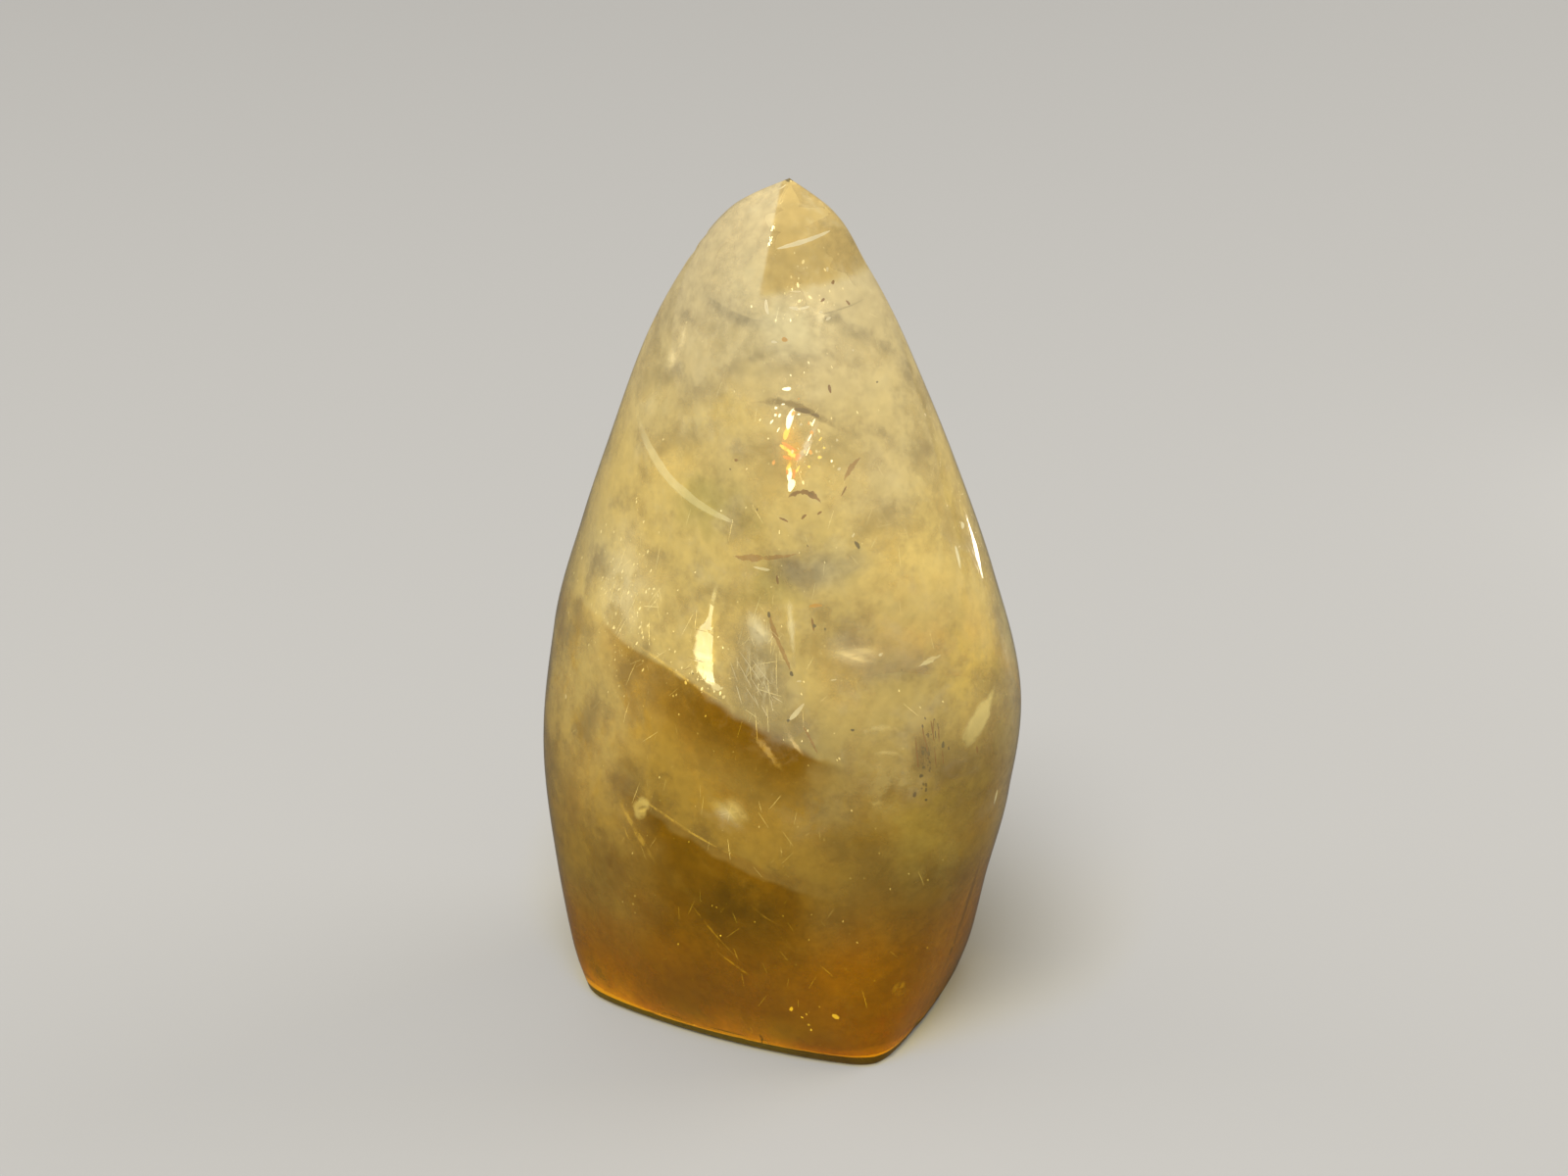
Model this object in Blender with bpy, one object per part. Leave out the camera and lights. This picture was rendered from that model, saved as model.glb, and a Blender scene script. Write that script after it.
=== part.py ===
"""Polished citrine free form: one quartz stone ground to a four-sided, slightly twisted flame on a flat base.

The stone is a loft of horizontal sections. Each section has four gently curved sides, two broad and two
narrow, that meet in ridges. The section turns and leans a little on its way up, so the ridges wind round
the stone. They are crisp at the base and at the point, and worn round by polishing in between.
"""

import math

import bmesh
import bpy
import numpy as np

MM = 0.001

HEIGHT = 68.5 * MM
EDGE_ROUND = 0.6 * MM  # height of the softened edge round the foot

# Height and half the distance across the narrow sides, then across the broad sides, from foot to point
HEIGHTS = np.array((0.0, 0.6, 4.0, 11.0, 20.0, 29.0, 38.0, 47.0, 56.0, 62.0, 66.0, 68.5)) * MM
HALF_WIDTHS = np.array((13.1, 13.8, 15.3, 17.7, 20.8, 22.8, 19.8, 14.8, 9.5, 5.6, 3.1, 0.0)) * MM
HALF_DEPTHS = np.array((10.0, 10.6, 11.9, 13.8, 15.0, 14.8, 13.3, 11.0, 8.0, 5.4, 3.05, 0.0)) * MM
SIDE_SHIFTS = np.array((0.0, 0.0, -0.25, -0.4, -0.05, 0.7, 0.8, 0.6, 0.4, 0.4, 0.8, 1.1)) * MM

FACE_AZIMUTHS = np.radians((245.5, 336.0, 65.5, 156.0))  # outward at the foot: front, right, back, left
TWIST = math.radians(-38.0)  # turn of the point against the foot, clockwise from above
TWIST_POWER = 1.25  # above 1 leaves more of the turn to the upper half
LEAN_BACK = 2.4 * MM  # how far the point stands behind the middle of the foot

# Radius that each side is ground to: it falls evenly from the belly to the point, and rises to the foot
FACE_RADIUS_FOOT = 40.0 * MM
FACE_RADIUS_POINT = 20.0 * MM
FACE_RADIUS_RISE = 20.0 * MM
FACE_RADIUS_RISE_FADE = 5.0 * MM

# Crispness of the ridges, as the exponent that blends the four sides into one outline
RIDGE_WORN = 5.0
RIDGE_FOOT = 13.0
RIDGE_FOOT_FADE = 3.5 * MM
RIDGE_POINT = 35.0
RIDGE_POINT_POWER = 10.0

SIDE_COLUMNS = 20  # mesh columns on each side, ridge to ridge
RINGS = 44
RING_CROWDING = 1.5  # above 1 draws the rings together towards the point

CITRINE_COLOUR = (0.62, 0.42, 0.14, 1.0)
CITRINE_ROUGHNESS = 0.08
CITRINE_IOR = 1.544
CITRINE_TRANSMISSION = 0.5
SMOOTH_ANGLE = math.radians(32.0)


def clear_scene():
    for obj in list(bpy.data.objects):
        bpy.data.objects.remove(obj, do_unlink=True)


def smooth_curve(heights, values, at):
    """Cubic through the stations. Its slopes, harmonic means of both neighbours', never overshoot them."""
    step = np.diff(heights)
    rise = np.diff(values) / step
    before = rise[:-1]
    after = rise[1:]
    same_way = before * after > 0
    weight_before = 2 * step[1:] + step[:-1]
    weight_after = step[1:] + 2 * step[:-1]
    over = weight_before / np.where(same_way, before, 1) + weight_after / np.where(same_way, after, 1)
    inner_slopes = np.where(same_way, (weight_before + weight_after) / np.where(same_way, over, 1), 0)
    slope = np.concatenate((rise[:1], inner_slopes, rise[-1:]))
    i = np.clip(np.searchsorted(heights, at) - 1, 0, len(step) - 1)
    t = (at - heights[i]) / step[i]
    return ((2 * t**3 - 3 * t**2 + 1) * values[i] + (t**3 - 2 * t**2 + t) * step[i] * slope[i]
            + (3 * t**2 - 2 * t**3) * values[i + 1] + (t**3 - t**2) * step[i] * slope[i + 1])


def ring_heights():
    """Heights of the rings below the point: the softened foot first, then closer and closer upwards."""
    share = np.linspace(0, 1, RINGS)[:-1]
    body = EDGE_ROUND + (HEIGHT - EDGE_ROUND) * (1 - (1 - share) ** RING_CROWDING)
    return np.concatenate(((0.0,), body))


def section(height):
    """Outline points of the section at one height.

    Side k is an arc of radius R whose nearest point is at distance d from the centre. Seen at angle a from
    its normal it lies at r = sqrt(R^2 - (R - d)^2 sin^2 a) - (R - d) cos a. The four sides are blended into
    one outline as the sum of r^-p, to the power -1/p, where p is the crispness of the ridges.
    """
    share = height / HEIGHT
    half_width, half_depth, shift_x = (
        smooth_curve(HEIGHTS, column, np.array((height,)))[0]
        for column in (HALF_WIDTHS, HALF_DEPTHS, SIDE_SHIFTS)
    )
    distance = np.array((half_depth, half_width, half_depth, half_width))
    normal = FACE_AZIMUTHS + TWIST * share**TWIST_POWER
    radius = (FACE_RADIUS_FOOT + (FACE_RADIUS_POINT - FACE_RADIUS_FOOT) * share
              + FACE_RADIUS_RISE * math.exp(-height / FACE_RADIUS_RISE_FADE))
    crispness = (RIDGE_WORN + RIDGE_FOOT * math.exp(-height / RIDGE_FOOT_FADE)
                 + RIDGE_POINT * share**RIDGE_POINT_POWER)

    # A ridge stands where two neighbouring sides cross, and the columns run from ridge to ridge
    ahead = np.arctan2(np.roll(distance, -1), distance)
    behind = np.arctan2(np.roll(distance, 1), distance)
    steps = np.arange(SIDE_COLUMNS) / SIDE_COLUMNS
    angle = (normal[:, None] - behind[:, None] + (ahead + behind)[:, None] * steps).ravel()

    off_normal = angle[None, :] - normal[:, None]
    inner = (radius - distance)[:, None]
    to_side = np.sqrt(radius**2 - (inner * np.sin(off_normal)) ** 2) - inner * np.cos(off_normal)
    nearest = to_side.min(axis=0)
    reach = nearest * ((to_side / nearest) ** -crispness).sum(axis=0) ** (-1 / crispness)
    shift_y = LEAN_BACK * math.sin(share * math.pi / 2)
    return [(shift_x + r * math.cos(a), shift_y + r * math.sin(a), height) for r, a in zip(reach, angle)]


def add_ring(bm, points):
    """A closed loop of edges through the points."""
    verts = [bm.verts.new(point) for point in points]
    return [bm.edges.new((verts[i - 1], verts[i])) for i in range(len(verts))]


def citrine_material():
    material = bpy.data.materials.new("citrine")
    material.use_nodes = True
    shader = material.node_tree.nodes["Principled BSDF"]
    shader.inputs["Base Color"].default_value = CITRINE_COLOUR
    shader.inputs["Roughness"].default_value = CITRINE_ROUGHNESS
    shader.inputs["Metallic"].default_value = 0.0
    shader.inputs["IOR"].default_value = CITRINE_IOR
    shader.inputs["Transmission Weight"].default_value = CITRINE_TRANSMISSION
    return material


def make_crystal(collection):
    """Rings bridged from the foot up, a flat face under the first and a fan to the point over the last."""
    bm = bmesh.new()
    rings = [add_ring(bm, section(height)) for height in ring_heights()]
    for lower, upper in zip(rings, rings[1:]):
        bmesh.ops.bridge_loops(bm, edges=lower + upper)
    bmesh.ops.contextual_create(bm, geom=rings[0])
    tip = bm.verts.new((SIDE_SHIFTS[-1], LEAN_BACK, HEIGHT))
    for edge in rings[-1]:
        bm.faces.new((*edge.verts, tip))
    bmesh.ops.recalc_face_normals(bm, faces=bm.faces)
    mesh = bpy.data.meshes.new("crystal")
    bm.to_mesh(mesh)
    bm.free()
    mesh.materials.append(citrine_material())
    mesh.shade_smooth()
    mesh.set_sharp_from_angle(angle=SMOOTH_ANGLE)
    crystal = bpy.data.objects.new("crystal", mesh)
    collection.objects.link(crystal)
    return crystal


def main():
    clear_scene()
    collection = bpy.data.collections.new("citrine_crystal")
    bpy.context.scene.collection.children.link(collection)
    make_crystal(collection)


main()
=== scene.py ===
"""Dresses the citrine free form: cloudy golden quartz, with its colour zones, veils, cracks and specks."""

import math

import bpy
import numpy as np
from bpy.props import FloatProperty, FloatVectorProperty, IntProperty, PointerProperty
from bpy.types import Operator, Panel, PropertyGroup
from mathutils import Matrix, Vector


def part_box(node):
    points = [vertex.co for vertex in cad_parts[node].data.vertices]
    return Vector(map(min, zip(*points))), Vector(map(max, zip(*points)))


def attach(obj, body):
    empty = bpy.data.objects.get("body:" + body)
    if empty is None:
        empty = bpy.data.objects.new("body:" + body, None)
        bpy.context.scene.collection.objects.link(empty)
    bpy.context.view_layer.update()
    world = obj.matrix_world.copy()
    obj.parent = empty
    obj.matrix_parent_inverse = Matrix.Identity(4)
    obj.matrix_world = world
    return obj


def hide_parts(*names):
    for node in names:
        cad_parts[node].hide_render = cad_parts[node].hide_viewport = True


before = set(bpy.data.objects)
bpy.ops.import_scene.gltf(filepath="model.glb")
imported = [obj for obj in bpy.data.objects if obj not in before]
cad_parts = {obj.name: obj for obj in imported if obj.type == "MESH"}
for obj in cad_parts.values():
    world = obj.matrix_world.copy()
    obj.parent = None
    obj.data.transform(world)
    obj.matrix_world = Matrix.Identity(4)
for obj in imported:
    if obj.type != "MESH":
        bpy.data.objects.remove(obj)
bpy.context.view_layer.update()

bl_info = {
    "name": "Citrine Free Form",
    "version": (1, 0, 0),
    "blender": (4, 5, 0),
    "location": "View3D > Sidebar > Citrine",
    "description": "Builds a polished citrine free form with its veils, cracks and a studio round it",
    "category": "Object",
}

MM = 0.001
NODE = "crystal"
BODY = "root"
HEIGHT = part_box(NODE)[1].z

# Stations of the ground shape, from foot to point: height, half the distance across the narrow sides and
# across the broad sides, and the sideways shift of the middle
HEIGHTS = np.array((0.0, 4.0, 11.0, 20.0, 29.0, 38.0, 47.0, 56.0, 62.0, 66.0, 68.5)) * MM
HALF_WIDTHS = np.array((13.5, 15.3, 17.7, 20.8, 22.8, 19.8, 14.8, 9.5, 5.6, 3.1, 0.0)) * MM
HALF_DEPTHS = np.array((10.4, 11.9, 13.8, 15.0, 14.8, 13.3, 11.0, 8.0, 5.4, 3.05, 0.0)) * MM
SIDE_SHIFTS = np.array((0.0, -0.25, -0.4, -0.05, 0.7, 0.8, 0.6, 0.4, 0.4, 0.8, 1.1)) * MM
FACE_AZIMUTHS = np.radians((245.5, 336.0, 65.5, 156.0))
TWIST = math.radians(-38.0)
TWIST_POWER = 1.25
LEAN_BACK = 2.4 * MM
FACE_RADIUS_FOOT = 40.0 * MM
FACE_RADIUS_POINT = 20.0 * MM
FACE_RADIUS_RISE = 20.0 * MM
FACE_RADIUS_RISE_FADE = 5.0 * MM
RIDGE_WORN = 5.0
RIDGE_FOOT = 13.0
RIDGE_FOOT_FADE = 3.5 * MM
RIDGE_POINT = 35.0
RIDGE_POINT_POWER = 10.0

# The view: a camera above level and in front, aimed at the middle of the stone
CAMERA_ELEVATION = math.radians(28.0)
CAMERA_DISTANCE = 305.0 * MM
CAMERA_TARGET = np.array((0.7, 2.6, 34.2)) * MM
CAMERA_LENS = 90.0
CAMERA_SENSOR = 36.0
LIGHT_AIM = Vector((0.0, 0.0, 35.0 * MM))
FLOOR_REACH = 3.0  # metres from the stone to the floor's edges

# What is inside keeps this far from the foot and the point, and within this share of the way to the skin
INSIDE_FOOT = 0.7 * MM
INSIDE_POINT = 0.15 * MM
INSIDE_REACH = 0.985

# The skin's mesh: rows on the foot's disc and on its round edge, and how the rows crowd
FOOT_ROWS = 12
FOOT_START = 0.0005
FOOT_CROWDING = 0.6
EDGE_ROWS = 8
EDGE_GAP = 1.05
BODY_CROWDING = 1.5
TOP_SHARE = 0.9999  # share of the height up to which the outline is worked out
TOP_SHRINK = 0.02  # the last row is drawn in to this share, which keeps the point sharp
WEAR_FADE = 3.0 * MM  # radius under which the wear fades out

GOLDEN_ANGLE = math.pi * (3 - math.sqrt(5))
WHITE = (1.0, 1.0, 1.0, 1.0)
BLACK = (0.0, 0.0, 0.0, 1.0)


class StoneSizes(PropertyGroup):
    """Sizes of the ground surface."""

    foot_round: FloatProperty(
        name="Foot round", description="Radius of the softened edge round the foot",
        default=0.6 * MM, min=0.0, unit="LENGTH")
    polish_wave: FloatProperty(
        name="Polish wave", description="Height of the slow waves that hand polishing leaves",
        default=0.02 * MM, min=0.0, unit="LENGTH")
    nick_depth: FloatProperty(
        name="Nick depth", description="Depth of the largest nick on a ridge or on the foot's edge",
        default=0.22 * MM, min=0.0, unit="LENGTH")
    nicks: IntProperty(
        name="Nicks", description="How many nicks are on the edges", default=46, min=0)
    around: IntProperty(
        name="Around", description="Mesh columns around the stone", default=272, min=32)
    rows: IntProperty(
        name="Rows", description="Mesh rows from the foot to the point", default=270, min=32)


def colour_setting(name, description, default):
    """A colour that a user can change."""
    return FloatVectorProperty(name=name, description=description, default=default, size=3, min=0.0, max=1.0,
                               subtype="COLOR")


class StoneColours(PropertyGroup):
    """Colours of the quartz and what is in it."""

    straw: colour_setting("Straw", "Palest quartz, near the point", (0.65, 0.57, 0.375))
    honey: colour_setting("Honey", "Yellow quartz of the upper half", (0.75, 0.63, 0.305))
    pale: colour_setting("Pale", "Whitish cloudy patches", (0.70, 0.64, 0.45))
    smoke: colour_setting("Smoke", "Clear, slightly green quartz in the middle", (0.50, 0.45, 0.21))
    grey: colour_setting("Grey", "Clear lenses in the middle that look grey", (0.47, 0.42, 0.29))
    gold: colour_setting("Gold", "Bright yellow patch on the right", (0.96, 0.76, 0.20))
    cap: colour_setting("Cap", "Golden tan of the small facet at the point", (0.56, 0.44, 0.19))
    brown: colour_setting("Brown", "Dark bands under the growth lines", (0.42, 0.235, 0.003))
    tan: colour_setting("Tan", "Cloudy quartz between the growth lines", (0.61, 0.435, 0.10))
    amber: colour_setting("Amber", "Deep gold of the lower end", (0.65, 0.335, 0.002))
    # The rim colour is painted glow: the foot's edge lit from within by light coming through the stone
    rim: colour_setting("Rim", "Brighter gold at the foot", (0.88, 0.56, 0.008))


class CloudSettings(PropertyGroup):
    """Cloudy layers and veils."""

    near_reach: FloatProperty(
        name="Near layer", description="Share of the way out at which the outer cloudy layer lies",
        default=0.90, min=0.3, max=0.97, subtype="FACTOR")
    deep_reach: FloatProperty(
        name="Deep layer", description="Share of the way out at which the inner cloudy layer lies",
        default=0.78, min=0.2, max=0.9, subtype="FACTOR")
    veils: IntProperty(
        name="Veils", description="How many loose veils hang inside the stone", default=13, min=0)


class StageSettings(PropertyGroup):
    """Lamps and floor."""

    key_power: FloatProperty(
        name="Key power", description="Power of the main lamp", default=7.2, min=0.0, unit="POWER")
    side_power: FloatProperty(
        name="Side power", description="Power of the lamp on the right, twice that of the left one",
        default=2.2, min=0.0, unit="POWER")
    sky: FloatProperty(name="Sky", description="Strength of the light from all round", default=0.5, min=0.0)
    floor: colour_setting("Floor", "Colour of the floor", (0.30, 0.297, 0.29))


def smooth_curve(heights, values, at):
    """Cubic through the stations. Its slopes, harmonic means of both neighbours', never overshoot them."""
    step = np.diff(heights)
    rise = np.diff(values) / step
    before = rise[:-1]
    after = rise[1:]
    same_way = before * after > 0
    weight_before = 2 * step[1:] + step[:-1]
    weight_after = step[1:] + 2 * step[:-1]
    over = weight_before / np.where(same_way, before, 1) + weight_after / np.where(same_way, after, 1)
    inner_slopes = np.where(same_way, (weight_before + weight_after) / np.where(same_way, over, 1), 0)
    slope = np.concatenate((rise[:1], inner_slopes, rise[-1:]))
    i = np.clip(np.searchsorted(heights, at) - 1, 0, len(step) - 1)
    t = (at - heights[i]) / step[i]
    return ((2 * t**3 - 3 * t**2 + 1) * values[i] + (t**3 - 2 * t**2 + t) * step[i] * slope[i]
            + (3 * t**2 - 2 * t**3) * values[i + 1] + (t**3 - t**2) * step[i] * slope[i + 1])


def axis_point(height):
    """Middle of the stone at each height: the shifts of the stations, and a lean back of a quarter sine."""
    height = np.clip(height, 0, HEIGHT)
    shift_y = LEAN_BACK * np.sin(height / HEIGHT * math.pi / 2)
    return smooth_curve(HEIGHTS, SIDE_SHIFTS, height), shift_y


def skin_radius(azimuth, height):
    """Distance from the middle to the skin.

    Side k is an arc of radius R whose nearest point is at distance d. Seen at angle a from its normal it
    lies at r = sqrt(R^2 - (R - d)^2 sin^2 a) - (R - d) cos a. The outline is the sum of r^-p over the four
    sides, to the power -1/p, where p is the crispness of the ridges.
    """
    height = np.clip(height, 0, HEIGHT * TOP_SHARE)
    share = height / HEIGHT
    half_width = smooth_curve(HEIGHTS, HALF_WIDTHS, height)
    half_depth = smooth_curve(HEIGHTS, HALF_DEPTHS, height)
    radius = (FACE_RADIUS_FOOT + (FACE_RADIUS_POINT - FACE_RADIUS_FOOT) * share
              + FACE_RADIUS_RISE * np.exp(-height / FACE_RADIUS_RISE_FADE))
    crispness = (RIDGE_WORN + RIDGE_FOOT * np.exp(-height / RIDGE_FOOT_FADE)
                 + RIDGE_POINT * share**RIDGE_POINT_POWER)
    distances = (half_depth, half_width, half_depth, half_width)
    to_sides = []
    for face_azimuth, distance in zip(FACE_AZIMUTHS, distances):
        off_normal = azimuth - (face_azimuth + TWIST * share**TWIST_POWER)
        inner = radius - distance
        to_sides.append(np.sqrt(radius**2 - (inner * np.sin(off_normal)) ** 2) - inner * np.cos(off_normal))
    to_sides = np.array(to_sides)
    nearest = to_sides.min(axis=0)
    return nearest * ((to_sides / nearest) ** -crispness).sum(axis=0) ** (-1 / crispness)


def ridge_azimuth(side, height):
    """Azimuth of the ridge between a side and the next one: where their planes cross."""
    share = np.clip(height / HEIGHT, 0, 1)
    near = smooth_curve(HEIGHTS, HALF_DEPTHS if side % 2 == 0 else HALF_WIDTHS, height)
    far = smooth_curve(HEIGHTS, HALF_WIDTHS if side % 2 == 0 else HALF_DEPTHS, height)
    return FACE_AZIMUTHS[side] + TWIST * share**TWIST_POWER + np.arctan2(far, near)


def skin_wear(azimuth, height, wave, nick_depth, nicks):
    """How far hand polishing and knocks take the skin in, or leave it out.

    The waves are a sum of products of sines of azimuth and height. A nick of size r takes its depth times
    exp(-(distance / r)^2). Nicks sit along the foot's edge, and on the ridges near the point.
    """
    level = wave * (np.sin(3 * azimuth + height / (5.1 * MM)) * np.sin(height / (3.7 * MM) + 1.3)
                    + 0.6 * np.sin(7 * azimuth - height / (2.9 * MM))
                    + 0.4 * np.sin(height / (1.9 * MM) + 2.0))
    rng = np.random.default_rng(5)
    for k in range(nicks):
        side = int(rng.integers(4))
        low = rng.random() < 0.5
        at = (rng.uniform(0.2, 1.6) if low else HEIGHT / MM * rng.uniform(0.80, 0.985)) * MM
        size = rng.uniform(0.15, 0.55) * MM
        turn = rng.uniform(0, 2 * math.pi) if low else float(ridge_azimuth(side, at))
        radius = float(skin_radius(turn, at))
        off = np.hypot(radius * (np.mod(azimuth - turn + math.pi, 2 * math.pi) - math.pi), height - at)
        level = level - nick_depth * rng.uniform(0.2, 1.0) ** 2 * np.exp(-((off / size) ** 2))
    return level


def stone_point(azimuth, height, reach=1.0):
    """Points at an azimuth and a height, a share (reach) of the way out from the middle to the skin."""
    middle_x, middle_y = axis_point(height)
    radius = reach * skin_radius(azimuth, height)
    return np.stack((middle_x + radius * np.cos(azimuth), middle_y + radius * np.sin(azimuth),
                     height + 0 * azimuth), axis=-1)


def grid_mesh(name, points, closed_around=False, closed_ends=False, uv=None):
    """A mesh of quads over a grid of points (rows, columns, 3), with a UV map where one is given.

    Where the ends are closed, a fan of triangles joins the first row to its middle, and the last row to its.
    """
    rows, columns = points.shape[:2]
    index = np.arange(rows * columns).reshape(rows, columns)
    if closed_around:
        index = np.concatenate((index, index[:, :1]), axis=1)
    quads = np.stack((index[:-1, :-1], index[:-1, 1:], index[1:, 1:], index[1:, :-1]), axis=-1).reshape(-1, 4)
    places = points.reshape(-1, 3)
    faces = quads.tolist()
    if closed_ends:
        for row, (left, right) in ((0, (index[0, 1:], index[0, :-1])), (-1, (index[-1, :-1], index[-1, 1:]))):
            middle = np.full(len(left), len(places))
            faces += np.stack((left, right, middle), axis=-1).tolist()
            places = np.concatenate((places, points[row].mean(axis=0)[None]))
    mesh = bpy.data.meshes.new(name)
    mesh.from_pydata(places, [], faces)
    if uv is not None:
        layer = mesh.uv_layers.new(name="across")
        layer.data.foreach_set("uv", uv.reshape(-1, 2)[quads].reshape(-1).astype(np.float32))
    mesh.validate()
    mesh.shade_smooth()
    return mesh


def keep_inside(points, reach):
    """Pulls points that lie too far out back to a share (reach) of the way from the middle to the skin."""
    height = np.clip(points[..., 2], INSIDE_FOOT, HEIGHT - INSIDE_POINT)
    middle_x, middle_y = axis_point(height)
    off_x = points[..., 0] - middle_x
    off_y = points[..., 1] - middle_y
    distance = np.maximum(np.hypot(off_x, off_y), 1e-9)
    limit = reach * skin_radius(np.arctan2(off_y, off_x), height)
    shrink = np.minimum(1, limit / distance)
    return np.stack((middle_x + off_x * shrink, middle_y + off_y * shrink, height), axis=-1)


def outward(azimuth, tilt):
    """Unit vectors at an azimuth and a tilt above level, both in radians."""
    level = np.cos(tilt)
    return np.stack((level * np.cos(azimuth), level * np.sin(azimuth), np.sin(tilt) + 0 * azimuth), axis=-1)


def plate_axes(azimuth, facing, roll):
    """The two axes across thin plates that face a direction near an azimuth, turned about it by roll."""
    side = np.stack((-np.sin(azimuth), np.cos(azimuth), 0 * azimuth), axis=-1)
    upward = np.cross(facing, side)
    return np.cos(roll) * side + np.sin(roll) * upward, np.cos(roll) * upward - np.sin(roll) * side


def plates_mesh(name, points, reach=INSIDE_REACH):
    """A mesh of separate flat plates, from the corners of each (plates, corners, 3)."""
    count, corners = points.shape[:2]
    mesh = bpy.data.meshes.new(name)
    mesh.from_pydata(keep_inside(points, reach).reshape(-1, 3), [],
                     np.arange(count * corners).reshape(count, corners))
    mesh.validate()
    return mesh


def sheet_mesh(name, centre, facing, roll, half_across, half_along, bend=0.0, ripple=0.0, seed=0, reach=0.97,
               rings=22, spokes=64):
    """A thin curved sheet inside the stone.

    With r from 0 to 1 and angle t, a point lies at centre + r q (half_across cos t S + half_along sin t T)
    + (bend r^2 + ripple w) N. N is the facing direction, S and T lie across it, q is an uneven outline made
    of three sines of t, and w is a slow wave over the sheet. UV is (1 + r cos t, 1 + r sin t) / 2.
    """
    phase = np.random.default_rng(seed).uniform(0, 2 * math.pi, 6)
    azimuth, tilt = np.radians(facing)
    normal = outward(azimuth, tilt)
    across, along = plate_axes(azimuth, normal, math.radians(roll))
    angle, r = np.meshgrid(np.linspace(0, 2 * math.pi, spokes, endpoint=False), np.linspace(0.001, 1, rings))
    outline = (1 + 0.10 * np.sin(2 * angle + phase[0]) + 0.08 * np.sin(3 * angle + phase[1])
               + 0.05 * np.sin(5 * angle + phase[2]))
    u = r * outline * np.cos(angle)
    v = r * outline * np.sin(angle)
    wave = (np.sin(3.1 * u + phase[3]) * np.cos(2.3 * v + phase[4])
            + 0.4 * np.sin(6.5 * u - 5.2 * v + phase[5]))
    lift = bend * (u**2 + v**2) + ripple * wave
    points = (np.array(centre) + (half_across * u)[..., None] * across + (half_along * v)[..., None] * along
              + lift[..., None] * normal)
    uv = np.stack((0.5 + 0.5 * r * np.cos(angle), 0.5 + 0.5 * r * np.sin(angle)), axis=-1)
    return grid_mesh(name, keep_inside(points, reach), closed_around=True, uv=uv)


def shell_mesh(name, middle, half_turn, low, high, reach, wave, seed, columns=72, rows=56):
    """A curved sheet that follows the skin part of the way round, at a share (reach) of its radius.

    Azimuth runs half_turn either side of the middle one and height from low to high. The reach varies by
    wave times the product of two sines. UV runs from 0 to 1 round and from 0.5 to 0.91 up.
    """
    phase = np.random.default_rng(seed).uniform(0, 2 * math.pi, 4)
    u, v = np.meshgrid(np.linspace(0, 1, columns), np.linspace(0, 1, rows))
    azimuth = np.radians(middle + half_turn * (2 * u - 1))
    height = low + (high - low) * v
    swing = (np.sin(2 * azimuth + phase[0]) * np.sin(height / (7 * MM) + phase[1])
             + 0.5 * np.sin(5 * azimuth + phase[2]) * np.sin(height / (3 * MM) + phase[3]))
    points = stone_point(azimuth, height, reach + wave * swing)
    return grid_mesh(name, keep_inside(points, INSIDE_REACH), uv=np.stack((u, 0.5 + 0.41 * v), axis=-1))


def ribbon_mesh(name, path, reach, half_width, jag, seed, columns=7, rows=56):
    """A narrow band that follows a path inside the stone, at a share (reach) of the way out to the skin.

    Each point of the path is an azimuth in degrees and a height in millimetres. With t from 0 to 1 along the
    path and s from -1 to 1 across it, a point lies at P(t) + (s w (4 t (1 - t))^0.5 (1 + jag n) + d) A. P is
    the polynomial through the path's points, A lies across it on the skin, w is the half width, n is an
    uneven wave of t, and d is a faint drift. UV is (s + 1) / 2 and t.
    """
    phase = np.random.default_rng(seed).uniform(0, 2 * math.pi, 4)
    knots = np.linspace(0, 1, len(path))
    t = np.linspace(0, 1, rows)
    azimuth, height = (np.polyval(np.polyfit(knots, column, len(path) - 1), t) for column in zip(*path))
    turn = np.radians(azimuth)
    line = stone_point(turn, height * MM, reach)
    facing = np.stack((np.cos(turn), np.sin(turn), 0.3 + 0 * turn), axis=-1)
    across = np.cross(np.gradient(line, axis=0), facing)
    across /= np.linalg.norm(across, axis=1)[:, None]
    uneven = np.sin(9 * t + phase[0]) + 0.7 * np.sin(23 * t + phase[1]) + 0.5 * np.sin(51 * t + phase[2])
    width = half_width * np.sqrt(np.clip(4 * t * (1 - t), 0.002, 1)) * (1 + jag * uneven)
    drift = 0.25 * half_width * jag * np.sin(31 * t + phase[3])
    s = np.linspace(-1, 1, columns)
    points = line[:, None] + across[:, None] * (width[:, None] * s[None] + drift[:, None])[..., None]
    uv = np.stack(np.meshgrid((s + 1) / 2, t), axis=-1)
    return grid_mesh(name, keep_inside(points, INSIDE_REACH), uv=uv)


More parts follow.
